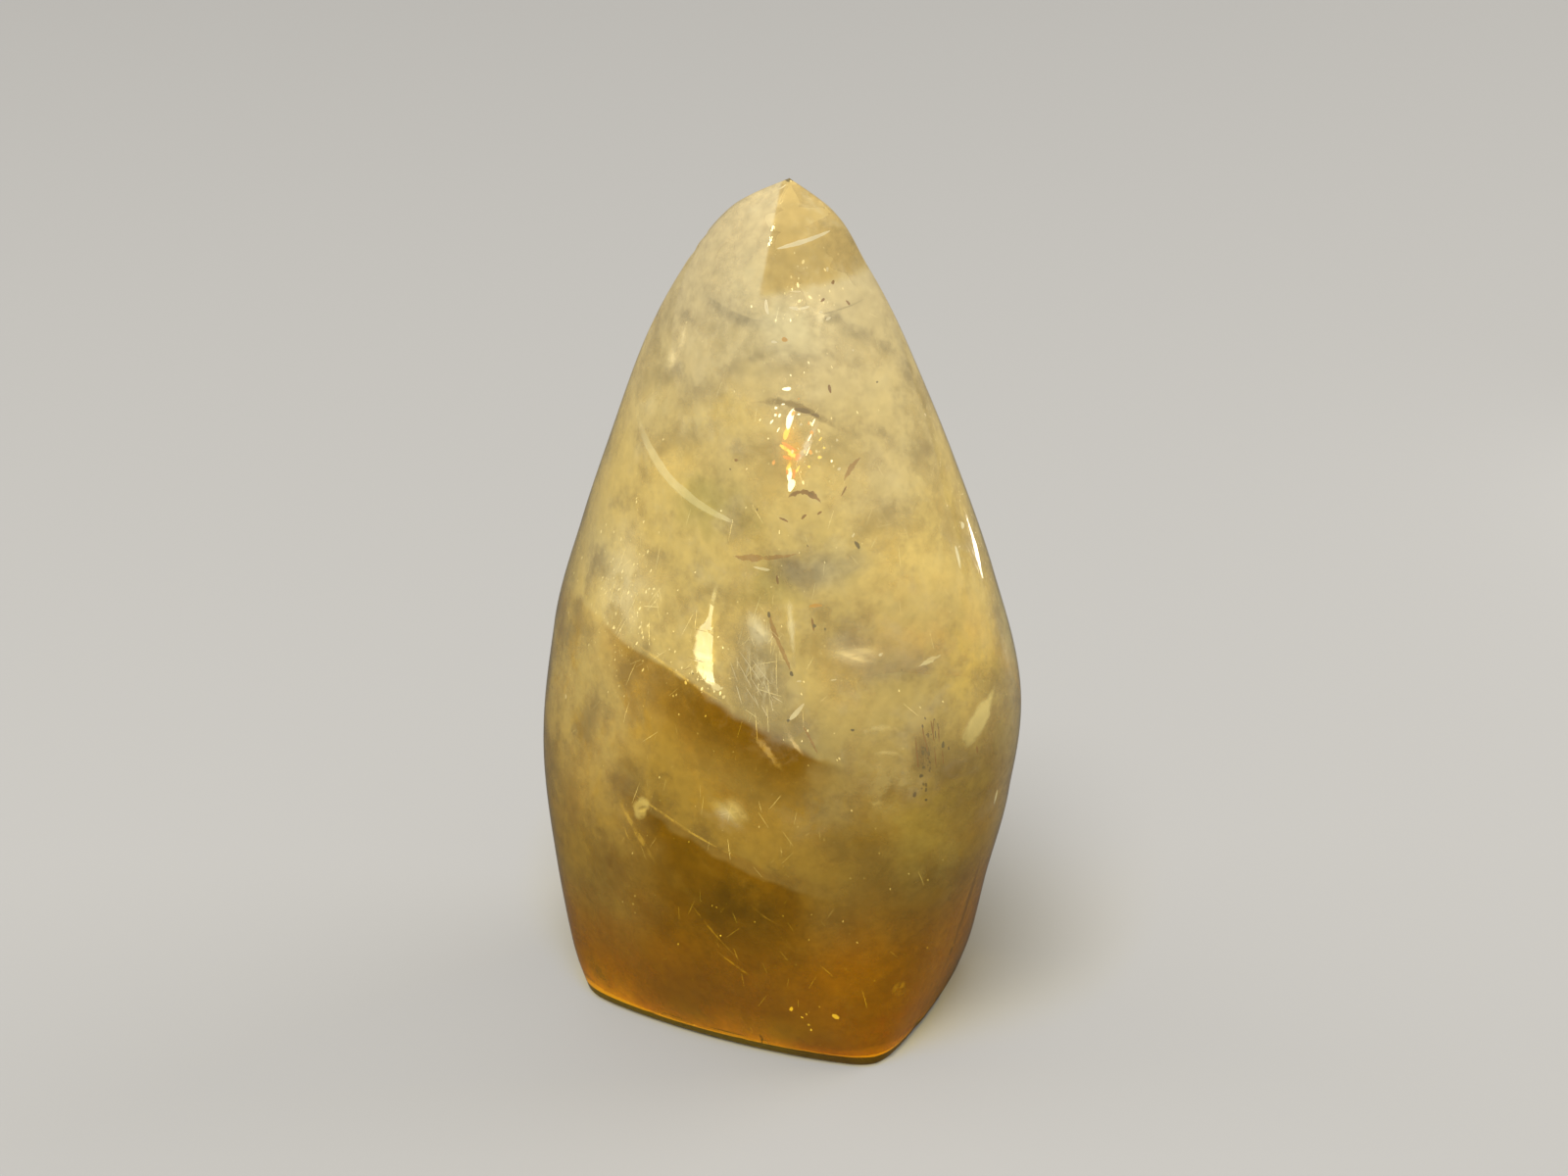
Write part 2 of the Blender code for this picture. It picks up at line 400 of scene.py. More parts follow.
def fleck_mesh(name, middle, spread, count, size, seed, stretch):
    """Many tiny six-sided flecks in one mesh, scattered round an azimuth, a height and a reach.

    Offsets from the middle are normally distributed, with the spread as their deviations. Fleck k has its
    corners at C + r_k (cos a S + stretch sin a T), with S across and T along a random direction.
    """
    rng = np.random.default_rng(seed)
    azimuth = np.radians(middle[0] + rng.normal(0, spread[0], count))
    height = np.clip((middle[1] + rng.normal(0, spread[1], count)) * MM, INSIDE_FOOT, HEIGHT - INSIDE_POINT)
    centre = stone_point(azimuth, height, np.clip(middle[2] + rng.normal(0, spread[2], count), 0.05, 0.975))
    radius = size * rng.uniform(0.35, 1.0, count) ** 2
    facing = np.stack((np.cos(azimuth), np.sin(azimuth), rng.uniform(0.2, 1.1, count)), axis=-1)
    across, along = plate_axes(azimuth, facing, rng.normal(0, 0.5, count)[:, None])
    corner = np.linspace(0, 2 * math.pi, 6, endpoint=False)[None, :, None]
    points = centre[:, None] + radius[:, None, None] * (
        np.cos(corner) * across[:, None] + stretch * np.sin(corner) * along[:, None])
    return plates_mesh(name, points)


def marks_mesh(name, marks, facing, reach):
    """Small oval marks at chosen places, in one mesh.

    Mark k has an azimuth, a height, half a length, half a width and a turn. Its corners are
    C + q (length cos t S + width sin t T). S and T lie across the facing direction, turned about it, and q
    is an uneven outline made of two sines of t. Where no facing direction is given, it is outward and a
    little upward.
    """
    azimuth, height, length, width, roll = np.array(marks, dtype=float).T
    centre = stone_point(np.radians(azimuth), height * MM, reach)
    turn = np.radians(azimuth if facing is None else np.full(len(azimuth), facing[0]))
    tilt = math.radians(12.0 if facing is None else facing[1])
    across, along = plate_axes(turn, outward(turn, tilt), np.radians(roll)[:, None])
    corner = np.linspace(0, 2 * math.pi, 12, endpoint=False)[None]
    uneven = 1 + 0.12 * np.sin(2 * corner + azimuth[:, None]) + 0.10 * np.sin(3 * corner + height[:, None])
    points = centre[:, None] + MM * uneven[..., None] * (
        (length[:, None] * np.cos(corner))[..., None] * across[:, None]
        + (width[:, None] * np.sin(corner))[..., None] * along[:, None])
    return plates_mesh(name, points, max(reach, INSIDE_REACH))


def fracture_mesh(name, edge, treads, lean, seed, columns=9, rows=9):
    """A fracture with a smooth right edge and a ragged left one, broken into treads that lean back. Its white
    is a painted glint.

    The edge gives azimuth, height and width, the lengths in millimetres, from the top down. Each tread,
    between two heights, stands deeper under the skin by lean[1] times the way up from its foot, and by
    lean[0] times the way across from the ragged edge, so that it faces the lamp. UV is the way across from
    the smooth edge, and the way down.
    """
    phase = np.random.default_rng(seed).uniform(0, 2 * math.pi, 3)
    knots, edge_height, edge_width = np.array(edge).T
    levels = [np.linspace(top, foot, rows) for top, foot in zip(treads, treads[1:])]
    height = np.concatenate(levels)
    foot = np.repeat(treads[1:], rows)
    azimuth = np.interp(-height, -edge_height, knots)
    ragged = np.sin(5.1 * height + phase[0]) + 0.7 * np.sin(11.3 * height + phase[1])
    width = np.interp(-height, -edge_height, edge_width) * (1 + 0.05 * ragged)
    u = np.linspace(0, 1, columns)[None]
    radius = skin_radius(np.radians(azimuth), height * MM)[:, None]
    turn = np.radians(azimuth)[:, None] - u * width[:, None] * MM / radius
    level = height[:, None] * MM + 0 * turn
    depth = 0.55 * MM + (lean[1] * (height - foot)[:, None] + lean[0] * (1 - u) * width[:, None]) * MM
    points = stone_point(turn, level, 1 - depth / skin_radius(turn, level))
    down = (height[0] - height) / (height[0] - height[-1])
    uv = np.stack(np.broadcast_arrays(u, down[:, None]), axis=-1)
    mesh = grid_mesh(name, keep_inside(points, 0.97), uv=uv)
    mesh.set_sharp_from_angle(angle=math.radians(25.0))
    return mesh


def stone_mesh(name, sizes):
    """The ground and polished skin, from the middle of the foot to the point.

    Rows of the body stand at H (1 - (1 - s)^c), where s runs evenly from 0 to 1 and c crowds them towards
    the point. The first rows roll in under the foot's edge of radius R: turned by an angle t, a row stands
    R (1 - cos t) high and R (1 - sin t) in from the side. The foot's disc is the first row, shrunk to its
    middle in steps.
    """
    share = np.linspace(0, 1, sizes.rows - FOOT_ROWS)
    body = HEIGHT * (1 - (1 - share) ** BODY_CROWDING)
    body = body[body > sizes.foot_round * EDGE_GAP]
    turn = np.linspace(0, math.pi / 2, EDGE_ROWS)
    heights = np.concatenate((sizes.foot_round * (1 - np.cos(turn)), body))
    insets = np.concatenate((sizes.foot_round * (1 - np.sin(turn)), np.zeros(len(body))))
    azimuth, height = np.meshgrid(np.linspace(0, 2 * math.pi, sizes.around, endpoint=False), heights)
    radius = skin_radius(azimuth, height) - insets[:, None]
    wear = skin_wear(azimuth, height, sizes.polish_wave, sizes.nick_depth, sizes.nicks)
    radius += wear * np.clip(radius / WEAR_FADE, 0, 1)
    radius *= np.where(height >= HEIGHT * TOP_SHARE, TOP_SHRINK, 1.0)
    middle_x, middle_y = axis_point(height)
    skin = np.stack((middle_x + radius * np.cos(azimuth), middle_y + radius * np.sin(azimuth), height),
                    axis=-1)
    shrink = np.linspace(FOOT_START, 1, FOOT_ROWS, endpoint=False) ** FOOT_CROWDING
    foot = skin[0][None] * shrink[:, None, None]
    return grid_mesh(name, np.concatenate((foot, skin)), closed_around=True, closed_ends=True)


def add_piece(name, mesh, material):
    """Links a finished piece, which rides on the stone."""
    mesh.materials.append(material)
    piece = bpy.data.objects.new(name, mesh)
    bpy.context.scene.collection.objects.link(piece)
    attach(piece, BODY)
    return piece


def add_inclusion(name, mesh, material):
    """A piece inside the stone that is too small or thin to shade what is behind it."""
    add_piece(name, mesh, material).visible_shadow = False


class Shading:
    """Short names for the shader nodes of one tree. Every method gives back the socket to link on."""

    def __init__(self, tree):
        self.tree = tree

    def node(self, kind, settings=None, **sockets):
        node = self.tree.nodes.new(kind)
        for name, value in (settings or {}).items():
            setattr(node, name, value)
        for name, value in sockets.items():
            self.feed(node.inputs[name.replace("_", " ")], value)
        return node

    def feed(self, socket, value):
        if isinstance(value, bpy.types.NodeSocket):
            self.tree.links.new(value, socket)
        elif value is not None:
            socket.default_value = value

    def math(self, operation, *values):
        node = self.node("ShaderNodeMath", {"operation": operation})
        for socket, value in zip(node.inputs, values):
            self.feed(socket, value)
        return node.outputs[0]

    def times(self, product, *others):
        for other in others:
            product = self.math("MULTIPLY", product, other)
        return product

    def vector(self, operation, *values):
        node = self.node("ShaderNodeVectorMath", {"operation": operation})
        for socket, value in zip(node.inputs, values):
            self.feed(socket, value)
        return node.outputs["Value" if operation in ("DOT_PRODUCT", "LENGTH") else "Vector"]

    def scaled(self, vector, factor):
        node = self.node("ShaderNodeVectorMath", {"operation": "SCALE"}, Vector=vector, Scale=factor)
        return node.outputs["Vector"]

    def coordinates(self):
        return self.node("ShaderNodeTexCoord").outputs["Object"]

    def noise(self, vector, scale, detail=4.0, roughness=0.55, colour=False):
        node = self.node("ShaderNodeTexNoise", None, Vector=vector, Scale=scale, Detail=detail,
                         Roughness=roughness)
        return node.outputs["Color" if colour else "Fac"]

    def span(self, value, low, high, to_low=0.0, to_high=1.0, smooth=True):
        node = self.node("ShaderNodeMapRange", {"interpolation_type": "SMOOTHSTEP" if smooth else "LINEAR"})
        for socket, number in zip(node.inputs, (value, low, high, to_low, to_high)):
            self.feed(socket, number)
        return node.outputs[0]

    def span_mm(self, value, low, high, to_low=0.0, to_high=1.0):
        """A span whose limits are in millimetres."""
        return self.span(value, low * MM, high * MM, to_low, to_high)

    def mix(self, factor, first, second, blend="MIX"):
        node = self.node("ShaderNodeMix", {"data_type": "RGBA", "blend_type": blend})
        self.feed(node.inputs[0], factor)
        self.feed(node.inputs[6], first)
        self.feed(node.inputs[7], second)
        return node.outputs[2]


def rgba(colour):
    return (*colour[:3], 1.0)


def new_material(name):
    """A material with an empty tree, its Shading, its Principled shader and its output."""
    material = bpy.data.materials.new(name)
    material.use_nodes = True
    tree = material.node_tree
    tree.nodes.clear()
    shading = Shading(tree)
    shader = tree.nodes.new("ShaderNodeBsdfPrincipled")
    output = tree.nodes.new("ShaderNodeOutputMaterial")
    tree.links.new(shader.outputs[0], output.inputs["Surface"])
    return material, shading, shader, output


def new_group(name, inputs, output, kind):
    """A node group with the named inputs and one output: its Shading, its inputs and its output socket."""
    group = bpy.data.node_groups.new(name, "ShaderNodeTree")
    for socket_name, socket_kind in inputs:
        group.interface.new_socket(socket_name, in_out="INPUT", socket_type=socket_kind)
    group.interface.new_socket(output, in_out="OUTPUT", socket_type=kind)
    s = Shading(group)
    return s, s.node("NodeGroupInput").outputs, s.node("NodeGroupOutput").inputs[output]


def use_group(s, name, **sockets):
    node = s.node("ShaderNodeGroup", {"node_tree": bpy.data.node_groups[name]}, **sockets)
    return node.outputs[0]


def soft_patch_group():
    """A soft, ragged ellipsoid mask round a centre, in object coordinates.

    Distance d is the length of (place - centre) divided by the size, plus the ragged value. The mask falls
    smoothly from 1, where d is 0.2, to 0, where d reaches 1.
    """
    s, given, result = new_group(
        "soft_patch", (("Place", "NodeSocketVector"), ("Centre", "NodeSocketVector"),
                       ("Size", "NodeSocketVector"), ("Ragged", "NodeSocketFloat")),
        "Mask", "NodeSocketFloat")
    off = s.vector("SUBTRACT", given["Place"], given["Centre"])
    scaled = s.vector("DIVIDE", off, given["Size"])
    distance = s.math("ADD", s.vector("LENGTH", scaled), given["Ragged"])
    s.feed(result, s.span(distance, 1.0, 0.2))


def with_patches(s, colour, patches, shades, place, ragged):
    """The colour with each patch's own colour mixed in, as strongly as its mask times its strength says."""
    for centre, size, name, strength in patches:
        mask = use_group(s, "soft_patch", Place=place, Ragged=ragged,
                         Centre=tuple(number * MM for number in centre),
                         Size=tuple(number * MM for number in size))
        colour = s.mix(s.times(mask, strength), colour, shades[name])
    return colour


# Local colours over the first growth line, and then anywhere: centre and half size in millimetres, the
# colour, and how strong it is
UPPER_PATCHES = (
    ((-4, -5, 61), (6, 6, 6.5), "pale", 0.6),
    ((1.5, -5, 60), (4, 4, 2.5), "pale", 0.9),
    ((-6, -6, 56), (2.5, 4, 2.5), "pale", 0.8),
    ((-4, -7, 53), (4, 6, 3), "honey", 0.8),
    ((8, -9, 49), (5, 8, 6), "straw", 0.7),
    ((-4.5, -8, 46.0), (5.5, 5, 2.8), "smoke", 0.7),
    ((-12, -3, 38), (7, 8, 6), "pale", 0.6),
    ((-10, 1, 50), (4, 6, 6), "pale", 0.3),
    ((-1.5, -12.5, 35.5), (3.4, 5, 5), "grey", 0.85),
    ((0, -11.5, 41.5), (3.4, 5, 3), "smoke", 0.6),
    ((3.8, -11.8, 43.0), (5.2, 5, 2.6), "grey", 0.95),
    ((6.5, -13, 37), (3.4, 4, 1.5), "pale", 0.8),
    ((14.5, -9.5, 33.5), (4.5, 8, 5), "gold", 0.7),
)
LOWER_PATCHES = (
    ((-13, -6.5, 21.6), (3.0, 4, 2.8), "brown", 1.0),
    ((12, -13.5, 21), (6, 6, 7), "gold", 0.75),
    ((-3.3, -13, 23.4), (1.8, 3, 1.3), "pale", 0.5),
    ((4, -14.5, 25), (4, 4, 3), "honey", 0.4),
)


def zone_colour_group(colours):
    """Colour of the quartz at a place: pale at the point, brown under a slanting growth line, amber below.

    The growth lines are planes at z + 0.5 x + 0.3 y = 26.7 mm and z + 0.26 x - 0.1 y = 20 mm, made uneven by
    noise. Soft patches add local colours.
    """
    s, given, result = new_group("zone_colour", (("Place", "NodeSocketVector"),), "Colour", "NodeSocketColor")
    shades = {name: rgba(getattr(colours, name)) for name in colours.__annotations__}
    place = given["Place"]
    broad, fine = (s.vector("SUBTRACT", s.noise(place, scale, 1.0, colour=True), (0.5, 0.5, 0.5))
                   for scale in (80.0, 480.0))
    warped, steadier = (
        s.vector("ADD", s.vector("ADD", place, s.scaled(broad, much * MM)), s.scaled(fine, little * MM))
        for much, little in ((6.0, 2.0), (2.5, 1.1)))
    wisps = s.noise(warped, 260.0, 5.0, 0.72)
    ragged = s.times(s.math("SUBTRACT", wisps, 0.5), 1.6)
    first = s.vector("DOT_PRODUCT", steadier, (0.5, 0.3, 1.0))
    second = s.vector("DOT_PRODUCT", steadier, (0.26, -0.1, 1.0))
    height = s.vector("DOT_PRODUCT", warped, (0.0, 0.0, 1.0))
    side = s.vector("DOT_PRODUCT", warped, (1.0, 0.25, 0.0))

    upper = s.mix(s.span_mm(height, 44.0, 60.0), shades["honey"], shades["straw"])
    upper = with_patches(s, upper, UPPER_PATCHES, shades, warped, ragged)

    # On the left brown starts under each growth line, and turns tan below the first one and amber below the
    # second. On the right the first growth line dissolves into cloudy tan
    paler = s.math("MAXIMUM", s.span_mm(first, 26.0, 20.5), s.span_mm(side, -7.5, -11.5, 0.0, 0.6))
    middle = s.mix(paler, shades["brown"], shades["tan"])
    lower = s.mix(s.span_mm(height, 18.0, 6.0), shades["brown"], shades["amber"])
    # The brighter gold in the lowest 5 mm is painted glow of light coming out at the foot
    lower = s.mix(s.span_mm(height, 5.0, 0.5), lower, shades["rim"])
    below = s.mix(s.span_mm(second, 20.3, 19.7), middle, lower)
    hazy = s.mix(s.span_mm(height, 34.0, 20.0), shades["honey"], shades["tan"])
    hazy = s.mix(s.span_mm(height, 19.0, 9.0), hazy, shades["amber"])
    left = s.mix(s.span_mm(first, 27.0, 26.4), upper, below)
    right = s.mix(s.span_mm(height, 38.0, 31.0), upper, hazy)
    colour = s.mix(s.span_mm(side, -2.6, 1.8), left, right)
    colour = with_patches(s, colour, LOWER_PATCHES, shades, warped, ragged)

    # Both edges of the stone are paler: painted light, the glow of the thin sides where light scatters out of
    # the cloudy quartz
    edge = s.times(s.span_mm(side, -10.0, -15.0), s.span_mm(height, 40.0, 32.0), s.span_mm(height, 4.0, 12.0))
    side_glow_colour = s.mix(s.span_mm(height, 14.0, 30.0), shades["tan"], shades["honey"])
    colour = s.mix(s.times(edge, 0.9), colour, side_glow_colour)
    edge = s.times(s.span_mm(side, 12.5, 16.5), s.span_mm(height, 10.0, 22.0))
    colour = s.mix(s.times(edge, 0.7), colour, shades["pale"])

    # The golden facet beside the front ridge of the point
    beside = s.span_mm(s.vector("DOT_PRODUCT", place, (0.983, -0.087, -0.163)), -10.9, -10.7)
    above = s.span_mm(s.vector("DOT_PRODUCT", place, (0.0, 0.0, 1.0)), 61.7, 62.2)
    colour = s.mix(s.times(beside, above, 0.8), colour, shades["cap"])

    # Light and dark wisps all through, and a fine grain
    mottle = s.mix(s.span_mm(first, 23.0, 28.0), (0.84, 0.53, 0.05, 1.0), shades["pale"])
    light = s.times(s.span(wisps, 0.50, 0.70), s.span_mm(height, 8.0, 34.0, 0.25, 0.5))
    colour = s.mix(light, colour, mottle)
    dark = s.times(s.span(wisps, 0.45, 0.24), s.span_mm(height, 10.0, 36.0, 0.45, 0.16))
    colour = s.mix(dark, colour, (0.55, 0.40, 0.12, 1.0), "MULTIPLY")
    grain = s.span(s.noise(place, 1100.0, 1.0), 0.3, 0.7, 0.93, 1.06)
    s.feed(result, s.scaled(colour, grain))


def wisp_mask_group():
    """Mask of a wispy cloud: noise between a low and a high limit, which fades out at the sheet's rim.

    The rim is round and uneven where Round is 1, and follows the square of the UV map where it is 0.
    """
    inputs = (("Place", "NodeSocketVector"), *((name, "NodeSocketFloat") for name in (
        "Grain", "Low", "High", "Rim", "Round")))
    s, given, result = new_group("wisp_mask", inputs, "Mask", "NodeSocketFloat")
    wisps = s.noise(given["Place"], given["Grain"], 4.0, 0.65)
    uv = s.node("ShaderNodeTexCoord").outputs["UV"]
    middle = s.vector("SUBTRACT", uv, (0.5, 0.5, 0.0))
    parts = s.node("ShaderNodeSeparateXYZ", None, Vector=middle).outputs
    square = s.math("MAXIMUM", s.math("ABSOLUTE", parts[0]), s.math("ABSOLUTE", parts[1]))
    off = s.span(given["Round"], 0.0, 1.0, square, s.vector("LENGTH", middle), smooth=False)
    uneven = s.times(s.math("SUBTRACT", wisps, 0.5), s.times(given["Round"], 0.5))
    rim = s.span(s.math("ADD", off, uneven), 0.5, given["Rim"])
    s.feed(result, s.times(s.span(wisps, given["Low"], given["High"]), rim))


def polish_normal_group():
    """Normal of the polished skin: faint slow waves, tiny pits and fine scratches in two directions."""
    s, given, result = new_group(
        "polish_normal", (("Place", "NodeSocketVector"), ("Strength", "NodeSocketFloat")), "Normal",
        "NodeSocketVector")
    place = given["Place"]
    scratches = None
    for turn, stretch, seed in (((0.0, 0.4, 0.0), 40.0, 0.0), ((0.0, -0.7, 0.9), 60.0, 3.0)):
        turned = s.node("ShaderNodeVectorRotate", {"rotation_type": "EULER_XYZ"}, Vector=place,
                        Rotation=turn).outputs[0]
        thin = s.vector("ADD", s.vector("MULTIPLY", turned, (4200.0, 4200.0, stretch)), (seed, seed, seed))
        line = s.span(s.noise(thin, 1.0, 0.0), 0.72, 0.80)
        scratches = line if scratches is None else s.math("MAXIMUM", scratches, line)
    waves = s.noise(place, 140.0, 1.0)
    pits = s.span(s.noise(place, 2600.0, 0.0), 0.78, 0.84)
    level = s.math("SUBTRACT", s.times(waves, 1.2), s.times(scratches, 0.12))
    level = s.math("SUBTRACT", level, s.times(pits, 0.25))
    bump = s.node("ShaderNodeBump", None, Height=level, Strength=given["Strength"], Distance=0.1 * MM)
    s.feed(result, bump.outputs[0])


def make_groups(colours):
    """The node groups that the materials share."""
    soft_patch_group()
    zone_colour_group(colours)
    wisp_mask_group()
    polish_normal_group()


def let_lamps_through(s, shader, output, tint):
    """Gives shadow rays a plain transparent surface in place of the shader."""
    opened = s.node("ShaderNodeBsdfTransparent", None, Color=tint)
    path = s.node("ShaderNodeLightPath")
    gate = s.node("ShaderNodeMixShader")
    s.tree.links.new(path.outputs["Is Shadow Ray"], gate.inputs[0])
    s.tree.links.new(shader.outputs[0], gate.inputs[1])
    s.tree.links.new(opened.outputs[0], gate.inputs[2])
    s.tree.links.new(gate.outputs[0], output.inputs["Surface"])


def quartz_material():
    """Polished see-through skin over golden quartz, a little cloudy at the surface itself."""
    material, s, shader, output = new_material("cloudy_citrine")
    place = s.coordinates()
    s.feed(shader.inputs["Base Color"], use_group(s, "zone_colour", Place=place))
    s.feed(shader.inputs["Normal"], use_group(s, "polish_normal", Place=place, Strength=0.5))
    smears = s.noise(place, 160.0, 3.0, 0.7)
    s.feed(shader.inputs["Roughness"], s.span(smears, 0.45, 0.75, 0.03, 0.12))
    shader.inputs["IOR"].default_value = 1.544
    shader.inputs["Specular IOR Level"].default_value = 0.5
    shader.inputs["Transmission Weight"].default_value = 0.80
    shader.inputs["Specular Tint"].default_value = (1.0, 0.83, 0.48, 1.0)
    absorption = s.node("ShaderNodeVolumeAbsorption", None, Color=(0.97, 0.86, 0.14, 1.0), Density=90.0)
    s.tree.links.new(absorption.outputs[0], output.inputs["Volume"])
    # Lamps shine through the polished surface onto the veils inside
    let_lamps_through(s, shader, output, (1.0, 0.97, 0.86, 1.0))
    return material


def cloud_material(name, cover, grain, low, high):
    """Cloudy quartz in depth: the colour of its zone, in wisps that come and go over the sheet."""
    material, s, shader, output = new_material(name)
    place = s.coordinates()
    s.feed(shader.inputs["Base Color"], use_group(s, "zone_colour", Place=place))
    mask = use_group(s, "wisp_mask", Place=place, Grain=grain, Low=low, High=high, Rim=0.36, Round=0.0)
    alpha = s.times(mask, cover)
    s.feed(shader.inputs["Alpha"], alpha)
    shader.inputs["Roughness"].default_value = 0.6
    let_lamps_through(s, shader, output, s.mix(alpha, WHITE, BLACK))
    return material


def veil_material(name, colour, cover, grain, low, high, rim, stretch=(1.0, 1.0, 1.0)):
    """A veil of fine bubbles in one colour, in wisps stretched along an axis, faded out at its rim."""
    material, s, shader, _ = new_material(name)
    place = s.vector("MULTIPLY", s.coordinates(), stretch)
    mask = use_group(s, "wisp_mask", Place=place, Grain=grain, Low=low, High=high, Rim=rim, Round=1.0)
    s.feed(shader.inputs["Alpha"], s.times(mask, cover))
    shader.inputs["Base Color"].default_value = rgba(colour)
    shader.inputs["Roughness"].default_value = 0.6
    shader.inputs["Specular IOR Level"].default_value = 0.1
    return material


def one_edge_material(name, colour, cover, top_fade):
    """A bright crack with one sharp edge: solid there, and thinner and broken towards its other edge."""
    material, s, shader, output = new_material(name)
    uv = s.node("ShaderNodeTexCoord").outputs["UV"]
    parts = s.node("ShaderNodeSeparateXYZ", None, Vector=uv).outputs
    streaks = s.noise(s.vector("MULTIPLY", uv, (8.0, 9.0, 1.0)), 1.0, 5.0, 0.65)
    fade = s.math("ADD", s.span(parts[0], 1.0, 0.5), s.times(s.math("SUBTRACT", streaks, 0.5), 0.5))
    ends = s.times(s.span(parts[1], 0.0, top_fade), s.span(parts[1], 1.0, 0.96))
    s.feed(shader.inputs["Alpha"], s.times(s.span(fade, 0.25, 0.85), ends, cover))
    streaked = s.mix(s.span(streaks, 0.4, 0.6), rgba(colour), (1.0, 0.98, 0.80, 1.0))
    s.feed(shader.inputs["Base Color"], streaked)
    # An open crack mirrors the lamps more strongly than quartz does
    shader.inputs["Roughness"].default_value = 0.3
    shader.inputs["Specular IOR Level"].default_value = 1.0
    let_lamps_through(s, shader, output, WHITE)
    return material


def plain_material(name, colour, roughness, shine):
    """One plain colour, for flecks, marks, painted glints and the painted glow at the foot. With a shine of 1
    it mirrors the lamp.
    """
    material, _, shader, _ = new_material(name)
    shader.inputs["Specular IOR Level"].default_value = shine
    shader.inputs["Base Color"].default_value = rgba(colour)
    shader.inputs["Roughness"].default_value = roughness
    return material


# Veils and healed cracks: colour, cover, grain, the low and high limit of the wisps, where the rim starts to
# fade, and how the wisps are stretched
VEIL_LOOKS = {
    "milky_veil": ((0.96, 0.90, 0.72), 0.45, 330.0, 0.42, 0.72, 0.2),
    "golden_veil": ((0.90, 0.55, 0.08), 0.6, 260.0, 0.38, 0.7, 0.2),
    "white_crack": ((1.0, 0.96, 0.78), 0.8, 900.0, 0.2, 0.5, 0.3),
    "hazy_crack": ((1.0, 0.93, 0.72), 0.7, 700.0, 0.38, 0.66, 0.05),
    "brown_crack": ((0.22, 0.085, 0.0), 1.0, 1400.0, 0.32, 0.42, 0.42),
    "rust_crack": ((0.32, 0.14, 0.0), 0.8, 1400.0, 0.30, 0.42, 0.42),
    "dark_crack": ((0.21, 0.13, 0.004), 0.9, 900.0, 0.26, 0.5, 0.2),
    "violet_crack": ((0.74, 0.68, 0.68), 0.85, 1500.0, 0.36, 0.52, 0.1, (2.0, 2.0, 0.5)),
    "gold_streak": ((0.98, 0.74, 0.22), 0.7, 900.0, 0.34, 0.6, 0.2),
    "pink_streak": ((0.95, 0.76, 0.48), 0.8, 800.0, 0.3, 0.6, 0.2),
    "swirl_veil": ((1.0, 0.92, 0.66), 0.45, 420.0, 0.42, 0.60, 0.05),
    "speck_smudge": ((0.25, 0.12, 0.0), 0.95, 900.0, 0.32, 0.58, 0.05, (1.8, 1.8, 0.4)),
    "cream_patch": ((1.0, 0.88, 0.58), 0.9, 700.0, 0.26, 0.55, 0.05, (0.7, 0.7, 1.8)),
    "butter_patch": ((1.0, 0.92, 0.60), 0.9, 500.0, 0.2, 0.45, 0.28),
    "whitish_patch": ((1.0, 0.96, 0.82), 0.9, 600.0, 0.22, 0.52, 0.05),
    "scratched_patch": ((0.90, 0.86, 0.72), 0.6, 500.0, 0.48, 0.62, 0.2, (5.0, 5.0, 0.6)),
    "feather_glow": ((1.0, 0.62, 0.10), 0.85, 700.0, 0.30, 0.60, 0.02),
    "grey_haze": ((0.90, 0.86, 0.74), 0.55, 420.0, 0.36, 0.62, 0.05),
}
# Bright cracks with one sharp edge: colour, cover, and the share of the height over which the top fades in
EDGE_LOOKS = {
    "crack_with_painted_glint": ((1.0, 1.0, 1.0), 1.0, 0.06),
    "crescent_crack": ((1.0, 0.95, 0.74), 0.6, 0.35),
}
# Plain colours: colour, roughness and shine
PLAIN_LOOKS = {
    # Painted glow at the foot
    "painted_foot_glow": ((0.60, 0.34, 0.01), 0.5, 0.5),
    # Painted highlight of the facet at the point
    "painted_highlight_band": ((1.0, 1.0, 1.0), 0.3, 1.0),
    "black_speck": ((0.06, 0.032, 0.008), 0.5, 0.0),
    "orange_speck": ((0.85, 0.36, 0.06), 0.5, 0.5),
    "bright_speck": ((1.0, 0.92, 0.62), 0.3, 0.5),
    # Painted glints and rainbow colours of the feather
    "white_flash": ((1.0, 0.97, 0.86), 0.32, 1.0),
    "yellow_flash": ((1.0, 0.74, 0.12), 0.5, 0.3),
    "orange_flash": ((1.0, 0.26, 0.04), 0.5, 0.2),
    # Painted highlights
    "painted_highlight_look": ((1.0, 1.0, 0.96), 0.32, 1.0),
    # Pale marks and scratches, and painted glints
    "pale_mark_and_glint": ((1.0, 0.94, 0.78), 0.4, 0.5),
    "amber_mark": ((0.70, 0.36, 0.03), 0.5, 0.0),
    "rust_mark": ((0.24, 0.09, 0.0), 0.5, 0.0),
    "brown_mark": ((0.15, 0.07, 0.0), 0.5, 0.0),
    "dark_mark": ((0.045, 0.022, 0.004), 0.5, 0.0),
}


def made_of(name):
    """The material of that name, which is made when it is first asked for."""
    makers = ((veil_material, VEIL_LOOKS), (one_edge_material, EDGE_LOOKS), (plain_material, PLAIN_LOOKS))
    for maker, looks in makers:
        if name in looks and name not in bpy.data.materials:
            maker(name, *looks[name])
    return bpy.data.materials[name]


class CITRINE_OT_stone(Operator):
    """Build the ground and polished surface of the stone"""

    bl_idname = "citrine.stone"
    bl_label = "Stone"

    def execute(self, context):
        mesh = stone_mesh("stone_surface", context.scene.citrine_sizes)
        piece = add_piece("stone_surface", mesh, quartz_material())
        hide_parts(NODE)
        return {"FINISHED"}


